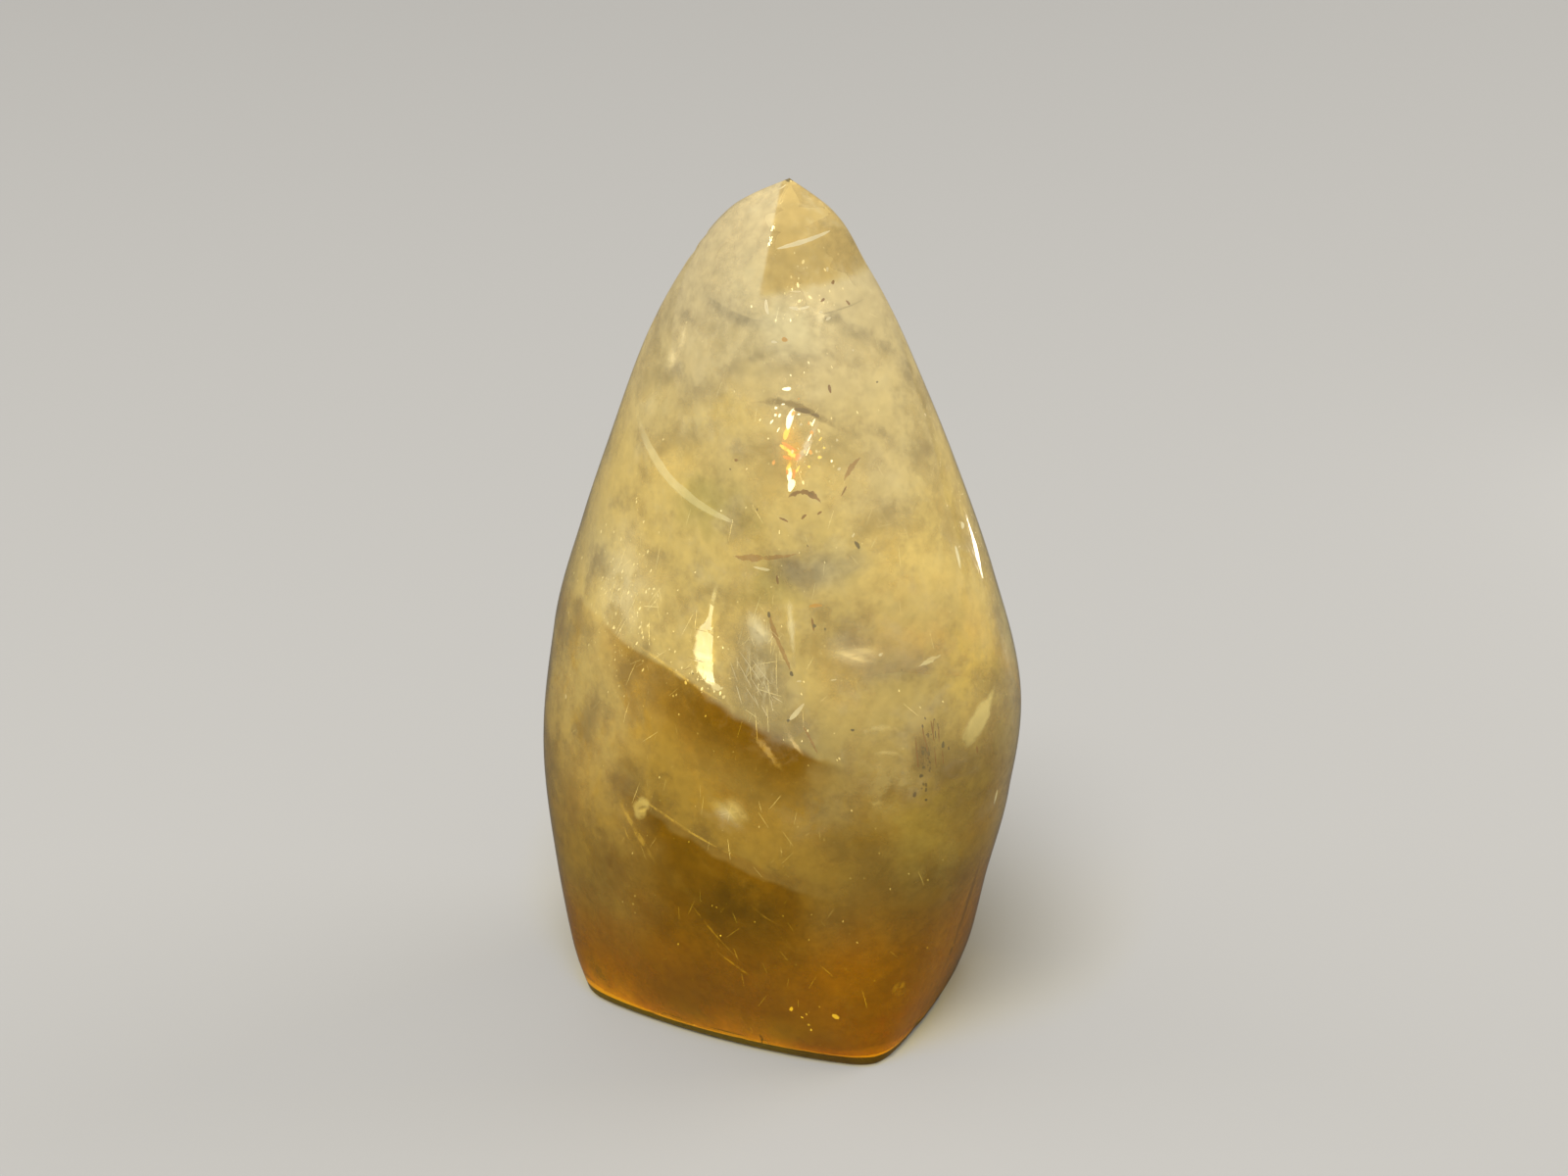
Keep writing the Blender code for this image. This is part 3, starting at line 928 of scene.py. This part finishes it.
class CITRINE_OT_clouds(Operator):
    """Hang the cloudy layers and the milky and golden veils inside the stone"""

    bl_idname = "citrine.clouds"
    bl_label = "Clouds"

    def execute(self, context):
        settings = context.scene.citrine_clouds
        near = cloud_material("near_cloud", 0.85, 210.0, 0.33, 0.62)
        deep = cloud_material("deep_cloud", 1.0, 130.0, 0.15, 0.38)
        tip = cloud_material("tip_cloud", 0.95, 210.0, 0.0, 0.1)
        # Middle azimuth, how far it runs either way, the heights where it starts and fades out, and reach:
        # two layers in front, two behind, and one all round that runs down from the point
        layers = (
            (262, 118, 0.8, 68.1, settings.near_reach, near),
            (270, 128, 1.0, 67.0, settings.deep_reach, deep),
            (85, 100, 0.8, 67.9, settings.near_reach + 0.02, near),
            (90, 100, 1.0, 66.8, settings.deep_reach - 0.02, deep),
            (270, 180, 68.3, 60.0, settings.near_reach - 0.02, tip),
        )
        for k, (middle, half_turn, low, high, reach, material) in enumerate(layers):
            mesh = shell_mesh(f"cloud_{k}", middle, half_turn, low * MM, high * MM, reach, 0.025, seed=k)
            add_piece(f"cloud_{k}", mesh, material)
        self.hang_veils(settings.veils)
        # A gold sheet over the foot: painted glow, in place of the light that shines through the foot
        base = sheet_mesh("foot_glow", (0, 0, 1.0 * MM), (0, 90), 24.5, 15 * MM, 17 * MM, ripple=0.1 * MM,
                          seed=70, reach=INSIDE_REACH)
        add_piece("foot_glow", base, made_of("painted_foot_glow"))
        return {"FINISHED"}

    def hang_veils(self, count):
        """Veils evenly up the stone, each turned from the last by the golden angle. Low ones are golden."""
        rng = np.random.default_rng(11)
        turn = np.arange(count) * GOLDEN_ANGLE
        heights = HEIGHT * (0.05 + 0.85 * (np.arange(count) + 0.5) / count)
        centres = stone_point(turn, heights, rng.uniform(0.15, 0.8, count))
        for k in range(count):
            name = f"veil_{k:02d}"
            size = rng.uniform(0.35, 0.75) * float(skin_radius(turn[k], heights[k]))
            facing = (math.degrees(turn[k]) + rng.uniform(-60, 60), rng.uniform(-30, 60))
            mesh = sheet_mesh(name, centres[k], facing, rng.uniform(0, 180), size, size * 1.4,
                              bend=rng.uniform(-2, 2) * MM, ripple=0.5 * MM, seed=k)
            add_piece(name, mesh, made_of("golden_veil" if heights[k] < 30 * MM else "milky_veil"))


# Narrow cracks and streaks: what each is made of, its reach, half its width in millimetres, how jagged it is,
# and the azimuths and heights that it passes
RIBBONS = (
    ("crescent", "crescent_crack", 0.94, 0.55, 0.08, ((180, 50.0), (197, 48.4), (211, 47.3), (228, 46.4),
                                                      (253, 45.7))),
    ("dark_arc", "dark_crack", 0.95, 0.42, 0.2, ((257, 54.6), (271, 55.0), (282, 54.3), (296, 52.4))),
    ("brown_arc_a", "brown_crack", 0.96, 0.24, 0.3, ((272, 48.4), (278, 48.9), (283, 48.1))),
    ("brown_arc_c", "rust_crack", 0.96, 0.22, 0.2, ((299, 50.8), (295, 50.4), (291, 49.5))),
    ("brown_line", "rust_crack", 0.96, 0.24, 0.3, ((252, 43.4), (262, 43.7), (276, 44.5))),
    ("window_tail", "white_crack", 0.95, 0.30, 0.2, ((245, 33.6), (249, 33.2), (251.5, 33.4))),
    ("brown_upright", "rust_crack", 0.96, 0.20, 0.2, ((265.3, 40.0), (267, 38.4), (269.5, 37.0),
                                                      (271.8, 35.6))),
    ("white_upright", "whitish_patch", 0.955, 0.34, 0.2, ((271.5, 41.6), (272, 39.0), (273, 35.9))),
    ("growth_edge_a", "gold_streak", 0.95, 0.20, 0.2, ((208, 34.0), (228, 33.6), (243, 32.7), (256, 32.1))),
    ("growth_edge_b", "gold_streak", 0.95, 0.13, 0.3, ((218, 22.2), (230, 21.8), (248, 20.5), (268, 19.1))),
    ("pink_streak", "pink_streak", 0.955, 0.42, 0.2, ((261, 30.4), (266, 29.0), (271, 27.3))),
    ("pink_streak_b", "pink_streak", 0.955, 0.25, 0.2, ((271, 31.0), (273, 30.0), (276, 29.0))),
    ("rust_streak_a", "rust_crack", 0.955, 0.12, 0.2, ((275, 31.6), (277, 30.6), (279, 29.4))),
    ("left_needle_a", "gold_streak", 0.96, 0.40, 0.2, ((215, 21.6), (224, 19.3), (233, 16.7))),
    ("left_needle_b", "gold_streak", 0.92, 0.10, 0.2, ((214, 20.2), (219, 18.4), (223, 16.9))),
    ("low_needle_a", "gold_streak", 0.92, 0.10, 0.2, ((241, 15.0), (251, 12.1), (262, 9.4))),
    ("low_needle_b", "gold_streak", 0.94, 0.14, 0.2, ((250, 10.6), (259, 9.2), (264, 8.4))),
    ("low_needle_c", "pink_streak", 0.88, 0.08, 0.2, ((262, 15.8), (272, 13.9), (283, 13.4))),
    ("swirl_top", "swirl_veil", 0.95, 0.4, 0.2, ((283, 27.6), (288, 30.6), (296, 31.4), (304, 28.8))),
    ("swirl_mid", "swirl_veil", 0.95, 0.3, 0.2, ((288, 27.2), (291, 29.0), (297, 29.4), (301, 27.6))),
    ("swirl_low", "swirl_veil", 0.95, 0.4, 0.2, ((284, 27.0), (291, 25.2), (301, 26.2))),
    ("right_swirl", "white_crack", 0.95, 0.25, 0.2, ((304, 35.6), (308, 35.9), (312, 36.0))),
    ("red_edge", "brown_crack", 0.93, 0.35, 0.2, ((332, 16.5), (334, 10.5), (330, 5.6))),
    ("base_crack", "brown_crack", 0.975, 0.10, 0.2, ((264.5, 2.2), (265.5, 1.5), (265, 0.8))),
    # A painted highlight: a white band in the facet at the point, where a strip lamp would mirror
    ("tip_painted_highlight", "painted_highlight_band", 0.972, 0.17, 0.08, ((264, 64.8), (283, 64.9), (303, 65.0), (328, 65.2))),
)
# Broad veils and patches: what each is made of, its azimuth, height and reach, the azimuth and tilt that it
# faces, its turn, and half its size across and along in millimetres
SHEETS = (
    # The feather's orange glow is a painted rainbow glint of its fracture
    ("feather_glow", "feather_glow", (274.5, 51.6, 0.935), (276, 22), 0, 1.3, 2.8),
    ("violet_streak", "violet_crack", (279.5, 52.0, 0.95), (270, 40), -20, 0.42, 2.2),
    ("tip_cloud_a", "hazy_crack", (284, 60.7, 0.95), (298, 33), 5, 2.4, 0.9),
    ("tip_cloud_b", "hazy_crack", (298, 59.9, 0.92), (300, 33), 20, 1.6, 0.9),
    ("left_cloud_a", "hazy_crack", (198, 56.7, 0.92), (212, 22), 0, 0.8, 1.3),
    ("left_cloud_b", "hazy_crack", (196, 55.0, 0.92), (212, 22), 30, 1.1, 1.0),
    ("left_haze", "grey_haze", (203, 37.6, 0.94), (208, 15), 10, 5.2, 6.2),
    ("white_wedge", "whitish_patch", (262, 38.2, 0.955), (252, 24), 30, 1.1, 2.3),
    ("clear_scratches", "scratched_patch", (262, 34.6, 0.94), (250, 12), 28, 2.2, 3.4),
    ("pale_patch", "cream_patch", (289, 37.0, 0.95), (276, 28), 85, 0.9, 2.5),
    ("blob_left", "butter_patch", (225, 21.4, 0.955), (231, 7), -30, 0.85, 1.05),
    ("blob_mid", "whitish_patch", (256, 23.4, 0.955), (250, 14), 70, 1.3, 2.0),
    ("right_patch", "butter_patch", (319.5, 30.1, 0.955), (315, 8), 42, 2.7, 1.05),
    ("low_spot", "pink_streak", (308.6, 6.9, 0.93), (303, 0), 0, 0.8, 0.8),
    ("right_haze", "swirl_veil", (297, 26.5, 0.94), (285, 5), 30, 4.2, 5.0),
    ("speck_haze", "speck_smudge", (304, 29.1, 0.965), (300, 3), 4, 1.1, 2.7),
)
# The fracture with the painted glint: azimuth, height and width at points down its smooth edge, and the
# heights of its treads
FRACTURE_EDGE = (
    (246, 40.8, 0.25), (245.4, 39.6, 0.55), (245.0, 38.6, 0.40), (245.0, 37.9, 0.55), (245.2, 37.4, 1.3),
    (245.5, 36.9, 1.9), (246.0, 35.9, 2.2), (246.4, 34.8, 2.1), (246.8, 34.0, 1.9), (248.6, 33.2, 1.0),
)
FRACTURE_TREADS = (40.8, 37.3, 35.4, 34.7, 33.2)


class CITRINE_OT_cracks(Operator):
    """Set the healed cracks, streaks and feathers inside the stone, with the painted glint of the fracture
    and the painted highlight at the point
    """

    bl_idname = "citrine.cracks"
    bl_label = "Cracks"

    def execute(self, context):
        for k, (name, look, reach, half_width, jag, path) in enumerate(RIBBONS):
            mesh = ribbon_mesh(name, path, reach, half_width * MM, jag, seed=100 + k)
            add_inclusion(name, mesh, made_of(look))
        # Each sheet lies a little deeper than the last, so that no two meet face to face
        for k, (name, look, (azimuth, height, reach), facing, roll, across, along) in enumerate(SHEETS):
            centre = stone_point(math.radians(azimuth), height * MM, reach)
            mesh = sheet_mesh(name, centre, facing, roll, across * MM, along * MM, ripple=0.06 * MM,
                              seed=200 + k, reach=0.963 - 0.001 * k)
            add_inclusion(name, mesh, made_of(look))
        # The fracture's white is a painted glint, the lamp mirrored in the open crack
        mesh = fracture_mesh("window_fracture", FRACTURE_EDGE, FRACTURE_TREADS, (0.15, 0.42), seed=7)
        add_inclusion("window_fracture", mesh, made_of("crack_with_painted_glint"))
        return {"FINISHED"}


# Clusters of specks, and of hairs: what each is made of, its middle azimuth, height and reach, how far these
# spread, how many there are, and half the size of the largest in millimetres
SPECKS = (
    ("black_specks", "black_speck", (304.6, 29.0, 0.97), (1.2, 1.6, 0.004), 34, 0.15),
    ("stray_specks", "black_speck", (280, 34, 0.93), (30, 14, 0.02), 26, 0.07),
    ("orange_specks", "orange_speck", (276, 52.6, 0.93), (3.5, 1.6, 0.01), 12, 0.13),
    ("feather_sparkles", "bright_speck", (281, 51.8, 0.95), (5, 1.4, 0.01), 18, 0.11),
    ("foot_sparkles", "bright_speck", (284, 4.6, 0.93), (6, 0.9, 0.02), 12, 0.20),
    ("window_sparkles", "bright_speck", (243, 33.4, 0.95), (5, 0.6, 0.01), 26, 0.11),
    ("point_sparkles", "bright_speck", (288, 61, 0.93), (16, 1.3, 0.02), 34, 0.10),
    ("left_frost", "bright_speck", (206, 37, 0.96), (11, 3.2, 0.008), 150, 0.09),
    ("dust", "bright_speck", (270, 34, 0.95), (50, 14, 0.015), 320, 0.06),
)
HAIRS = (
    ("patch_hairs", "bright_speck", (264, 36.0, 0.96), (5, 2.6, 0.008), 60, 0.022),
    ("left_hairs", "bright_speck", (215, 36, 0.96), (14, 4, 0.008), 60, 0.020),
    ("band_hairs", "bright_speck", (252, 24, 0.95), (22, 5, 0.01), 50, 0.016),
    ("upper_hairs", "bright_speck", (285, 46, 0.96), (22, 7, 0.008), 60, 0.015),
    ("low_hairs", "bright_speck", (265, 11, 0.95), (24, 4, 0.01), 36, 0.016),
)


class CITRINE_OT_specks(Operator):
    """Scatter the dark, orange and bright specks and the fine hairs inside the stone"""

    bl_idname = "citrine.specks"
    bl_label = "Specks"

    def execute(self, context):
        for first_seed, stretch, clusters in ((300, 1.6, SPECKS), (400, 55.0, HAIRS)):
            for k, (name, look, middle, spread, count, size) in enumerate(clusters):
                mesh = fleck_mesh(name, middle, spread, count, size * MM, first_seed + k, stretch)
                add_inclusion(name, mesh, made_of(look))
        return {"FINISHED"}


# Groups of single marks: the azimuth and tilt that they face, where that isn't outward, their reach and what
# they are made of. Of each mark: azimuth and height, half its length and width in millimetres, and its turn
TO_LAMP = (268, 46)
MARKS = (
    # The feather's flashes are painted glints and rainbow colours of its fracture, turned to face the key
    # lamp
    ("feather_white", TO_LAMP, 0.950, "white_flash", (
        (274, 53.9, 0.90, 0.22, 80), (273.0, 50.1, 0.62, 0.20, 96), (273.5, 49.3, 0.52, 0.25, 84),
        (268.5, 54.6, 0.12, 0.09, 60), (268.3, 54.1, 0.14, 0.07, 70), (266.8, 53.6, 0.20, 0.07, 60),
        (271.5, 54.9, 0.12, 0.08, 20), (277.5, 54.2, 0.10, 0.08, 0), (288, 50.9, 0.08, 0.10, 0),
        (273, 55.9, 0.30, 0.15, 12), (270, 54.1, 0.15, 0.08, 60), (269.4, 53.1, 0.22, 0.05, 60),
        (283, 53.6, 0.30, 0.05, 70), (281, 52.6, 0.35, 0.04, 68), (280, 51.7, 0.40, 0.04, 72))),
    ("feather_yellow", TO_LAMP, 0.942, "yellow_flash", (
        (272.6, 52.9, 0.55, 0.20, 75), (272, 51.8, 0.50, 0.14, -35), (274.5, 51.4, 0.48, 0.14, -25),
        (273, 50.6, 0.34, 0.12, 70), (284, 51.2, 0.14, 0.12, 0), (280, 50.6, 0.10, 0.10, 0),
        (276, 50.4, 0.34, 0.07, 60), (285, 52.4, 0.16, 0.06, 60), (286, 51.8, 0.10, 0.08, 0))),
    ("feather_orange", TO_LAMP, 0.948, "orange_flash", (
        (273.2, 52.0, 0.62, 0.10, -30), (276.2, 51.3, 0.20, 0.24, 0), (272.4, 51.2, 0.30, 0.10, -20),
        (274.6, 50.1, 0.08, 0.34, 0), (272.4, 50.2, 0.08, 0.26, 0))),
    ("orange_spot", None, 0.968, "amber_mark", ((279, 40.8, 0.46, 0.15, 4), (272.3, 59.1, 0.20, 0.20, 0))),
    # Pale marks and painted glints: small white spots where the feather, the point and the clear middle
    # glint, with a few pale patches and lines
    ("white_marks_and_glints", None, 0.968, "pale_mark_and_glint", (
        (278, 53.6, 0.09, 0.10, 0), (290, 50.4, 0.13, 0.12, 20), (291, 52.3, 0.08, 0.12, 0),
        (267, 59.0, 0.20, 0.10, 0), (310, 57.5, 0.08, 0.10, 0), (301, 59.8, 0.26, 0.11, 15),
        (297, 60.3, 0.16, 0.08, 0), (313, 62.8, 0.12, 0.16, 0), (274, 35.0, 0.20, 0.07, 8),
        (283, 35.3, 0.22, 0.06, 0), (295, 37.1, 0.18, 0.12, 0), (273.4, 32.6, 0.85, 0.19, 52),
        (186, 26.2, 0.18, 0.16, 0), (178, 32.2, 0.12, 0.12, 0), (291.5, 45.8, 0.18, 0.08, 60),
        (281, 61.9, 0.50, 0.06, -6), (263, 43.0, 0.70, 0.10, -8),
        (262, 61.2, 0.14, 0.50, 10), (285, 60.8, 0.50, 0.12, 10), (279, 60.9, 0.35, 0.14, -10),
        (256, 23.4, 0.9, 0.03, 20), (256, 23.4, 0.8, 0.03, 80), (256, 23.4, 0.7, 0.03, 140))),
    ("scratch_marks", None, 0.966, "pale_mark_and_glint", (
        (260, 35.4, 1.35, 0.028, -51), (263.5, 35.2, 1.2, 0.028, -50), (256.5, 33.2, 0.85, 0.028, -71),
        (264.5, 32.3, 0.55, 0.03, -60), (266.5, 32.9, 0.42, 0.03, -80), (260, 33.4, 0.75, 0.025, -53),
        (258, 34.8, 1.15, 0.024, -58), (262, 34.0, 1.0, 0.024, -55), (254.5, 34.8, 0.8, 0.02, -65),
        (265.4, 33.9, 0.8, 0.022, -62), (268, 33.4, 0.5, 0.03, -30), (262, 32.9, 0.6, 0.024, -66))),
    ("rust_marks", None, 0.970, "rust_mark", (
        (270.5, 46.85, 0.36, 0.09, -27), (277, 47.2, 0.24, 0.11, 40), (282, 47.5, 0.22, 0.08, 27),
        (290.5, 48.9, 0.38, 0.07, 56), (279.6, 48.7, 0.26, 0.15, -25), (314, 61.9, 0.17, 0.15, 0),
        (319, 60.4, 0.30, 0.09, -60), (301, 61.0, 0.22, 0.10, 20), (292, 55.6, 0.12, 0.34, 0),
        (278, 39.4, 0.09, 0.60, 8), (268, 42.4, 0.10, 0.32, 6), (306, 30.8, 0.07, 0.8, 3),
        (306.6, 28.6, 0.06, 0.7, 0), (302.2, 29.2, 0.07, 1.3, 0), (304.5, 29.6, 0.06, 1.0, 4),
        (303.8, 30.7, 0.05, 0.75, 3), (306.2, 30.9, 0.05, 0.8, -8), (308.5, 28.4, 0.05, 0.6, 0),
        (307.5, 30.4, 0.06, 0.6, -4), (318, 28.0, 0.10, 0.30, 0), (252, 50.4, 0.14, 0.12, 0),
        (241.4, 37.2, 0.60, 0.02, 4), (240.8, 34.9, 0.62, 0.02, -3),
        (238, 34.0, 0.4, 0.02, 30))),
    ("dark_marks", None, 0.988, "dark_mark", (
        (265.2, 39.8, 0.11, 0.26, 10), (271.8, 35.6, 0.12, 0.22, 15),
        (278.2, 39.4, 0.12, 0.16, 0), (281, 39.2, 0.08, 0.11, 0), (271, 32.0, 0.11, 0.13, 0),
        (287, 31.6, 0.16, 0.09, 0), (308, 29.6, 0.13, 0.28, 0), (303, 27.4, 0.15, 0.17, 0),
        (303.4, 28.1, 0.11, 0.13, 0), (305, 25.2, 0.13, 0.12, 0), (306.2, 30.6, 0.05, 0.3, 0),
        (240.5, 33.9, 0.09, 0.07, 0), (316, 55.2, 0.10, 0.07, 0), (292, 45.2, 0.14, 0.34, 20),
        (303.5, 26.3, 0.07, 0.08, 0), (309.4, 29.2, 0.06, 0.20, 0), (306.9, 31.2, 0.04, 0.26, 0))),
    # Painted highlights: white marks under the skin where the window lamp mirrors at the right edge, and
    # glints low on the right and on the ridge near the point
    ("painted_highlight_marks", None, 0.988, "painted_highlight_look", (
        (329, 22.2, 0.60, 0.20, 85), (323.5, 42.2, 0.85, 0.17, 86), (331, 43.7, 0.30, 0.24, 60),
        (222, 67.9, 0.45, 0.05, 40))),
    ("arc_marks", None, 0.966, "brown_mark", (
        (279, 54.5, 0.60, 0.20, -14), (284, 54.1, 0.30, 0.14, -26), (279.8, 48.75, 0.24, 0.13, -20))),
)


class CITRINE_OT_marks(Operator):
    """Place the single flashes, lines and dots that stand out one by one"""

    bl_idname = "citrine.marks"
    bl_label = "Marks"

    def execute(self, context):
        for name, facing, reach, look, marks in MARKS:
            add_inclusion(name, marks_mesh(name, marks, facing, reach), made_of(look))
        return {"FINISHED"}


class CITRINE_OT_stage(Operator):
    """Set the floor, the soft lights and the camera"""

    bl_idname = "citrine.stage"
    bl_label = "Stage"

    def execute(self, context):
        settings = context.scene.citrine_stage
        floor_mesh = bpy.data.meshes.new("floor")
        far = FLOOR_REACH
        floor_mesh.from_pydata([(-far, -far, 0), (far, -far, 0), (far, far, 0), (-far, far, 0)], [],
                               [(0, 1, 2, 3)])
        material, s, shader, _ = new_material("pale_floor")
        # Glossy rays see the floor round the stone painted dark, a painted reflection, so that the polish
        # doesn't grey the gold
        path = s.node("ShaderNodeLightPath")
        away = s.span_mm(s.vector("LENGTH", s.coordinates()), 80.0, 250.0)
        mirrored = s.mix(away, (0.05, 0.05, 0.05, 1.0), (0.34, 0.28, 0.16, 1.0))
        colour = s.mix(path.outputs["Is Glossy Ray"], rgba(settings.floor), mirrored)
        s.feed(shader.inputs["Base Color"], colour)
        shader.inputs["Roughness"].default_value = 0.6
        floor_mesh.materials.append(material)
        floor = bpy.data.objects.new("floor", floor_mesh)
        context.scene.collection.objects.link(floor)

        world = bpy.data.worlds.new("studio")
        context.scene.world = world
        world.use_nodes = True
        world.node_tree.nodes["Background"].inputs["Color"].default_value = (1.0, 0.97, 0.92, 1.0)
        world.node_tree.nodes["Background"].inputs["Strength"].default_value = settings.sky
        add_light("key", (-0.08, -0.26, 0.69), 0.34, 0.20, settings.key_power, (1.0, 0.98, 0.94))
        add_light("window", (0.110, 0.090, 0.0145), 0.018, 0.006, 0.005, (1.0, 0.98, 0.95))
        # Soft light from the sides, which the polish doesn't mirror
        for name, place, power in (("right", (0.50, 0.20, 0.28), settings.side_power),
                                   ("left", (-0.50, 0.16, 0.28), settings.side_power / 2)):
            add_light(name, place, 0.40, 0.30, power, (1.0, 0.97, 0.92)).visible_glossy = False

        camera_data = bpy.data.cameras.new("camera")
        camera_data.lens = CAMERA_LENS
        camera_data.sensor_width = CAMERA_SENSOR
        camera_data.clip_start = 0.01
        camera = bpy.data.objects.new("camera", camera_data)
        context.scene.collection.objects.link(camera)
        out = np.array((0.0, -math.cos(CAMERA_ELEVATION), math.sin(CAMERA_ELEVATION)))
        camera.location = CAMERA_TARGET + CAMERA_DISTANCE * out
        camera.rotation_euler = (math.pi / 2 - CAMERA_ELEVATION, 0.0, 0.0)
        context.scene.camera = camera
        context.scene.view_settings.view_transform = "Standard"
        context.scene.cycles.transparent_max_bounces = 32
        context.scene.cycles.transmission_bounces = 7
        context.scene.cycles.max_bounces = 9
        context.scene.cycles.caustics_refractive = False
        context.scene.cycles.caustics_reflective = False
        context.scene.cycles.sample_clamp_indirect = 4.0
        return {"FINISHED"}


def add_light(name, place, width, depth, power, colour):
    """A rectangular area light aimed at the middle of the stone."""
    data = bpy.data.lights.new(name, "AREA")
    data.shape = "RECTANGLE"
    data.size = width
    data.size_y = depth
    data.energy = power
    data.color = colour
    light = bpy.data.objects.new(name, data)
    bpy.context.scene.collection.objects.link(light)
    light.rotation_euler = (Vector(place) - LIGHT_AIM).to_track_quat("Z", "Y").to_euler()
    light.location = place
    return light


class CITRINE_PT_sidebar(Panel):
    """Settings and steps of the citrine free form"""

    bl_idname = "CITRINE_PT_sidebar"
    bl_label = "Citrine free form"
    bl_space_type = "VIEW_3D"
    bl_region_type = "UI"
    bl_category = "Citrine"

    def draw(self, context):
        for setting_name in SETTINGS:
            settings = getattr(context.scene, setting_name)
            column = self.layout.column(align=True)
            for key in settings.__annotations__:
                column.prop(settings, key)
        column = self.layout.column(align=True)
        for step in STEPS:
            column.operator(step.bl_idname)


SETTINGS = {"citrine_sizes": StoneSizes, "citrine_colours": StoneColours, "citrine_clouds": CloudSettings,
            "citrine_stage": StageSettings}
STEPS = (CITRINE_OT_stone, CITRINE_OT_clouds, CITRINE_OT_cracks, CITRINE_OT_specks, CITRINE_OT_marks,
         CITRINE_OT_stage)
CLASSES = (*SETTINGS.values(), *STEPS, CITRINE_PT_sidebar)


def register():
    for cls in CLASSES:
        bpy.utils.register_class(cls)
    for setting_name, group in SETTINGS.items():
        setattr(bpy.types.Scene, setting_name, PointerProperty(type=group))


def unregister():
    for setting_name in SETTINGS:
        delattr(bpy.types.Scene, setting_name)
    for cls in reversed(CLASSES):
        bpy.utils.unregister_class(cls)


def main():
    register()
    make_groups(bpy.context.scene.citrine_colours)
    bpy.ops.citrine.stone()
    bpy.ops.citrine.clouds()
    bpy.ops.citrine.cracks()
    bpy.ops.citrine.specks()
    bpy.ops.citrine.marks()
    bpy.ops.citrine.stage()


if __name__ == "__main__":
    main()
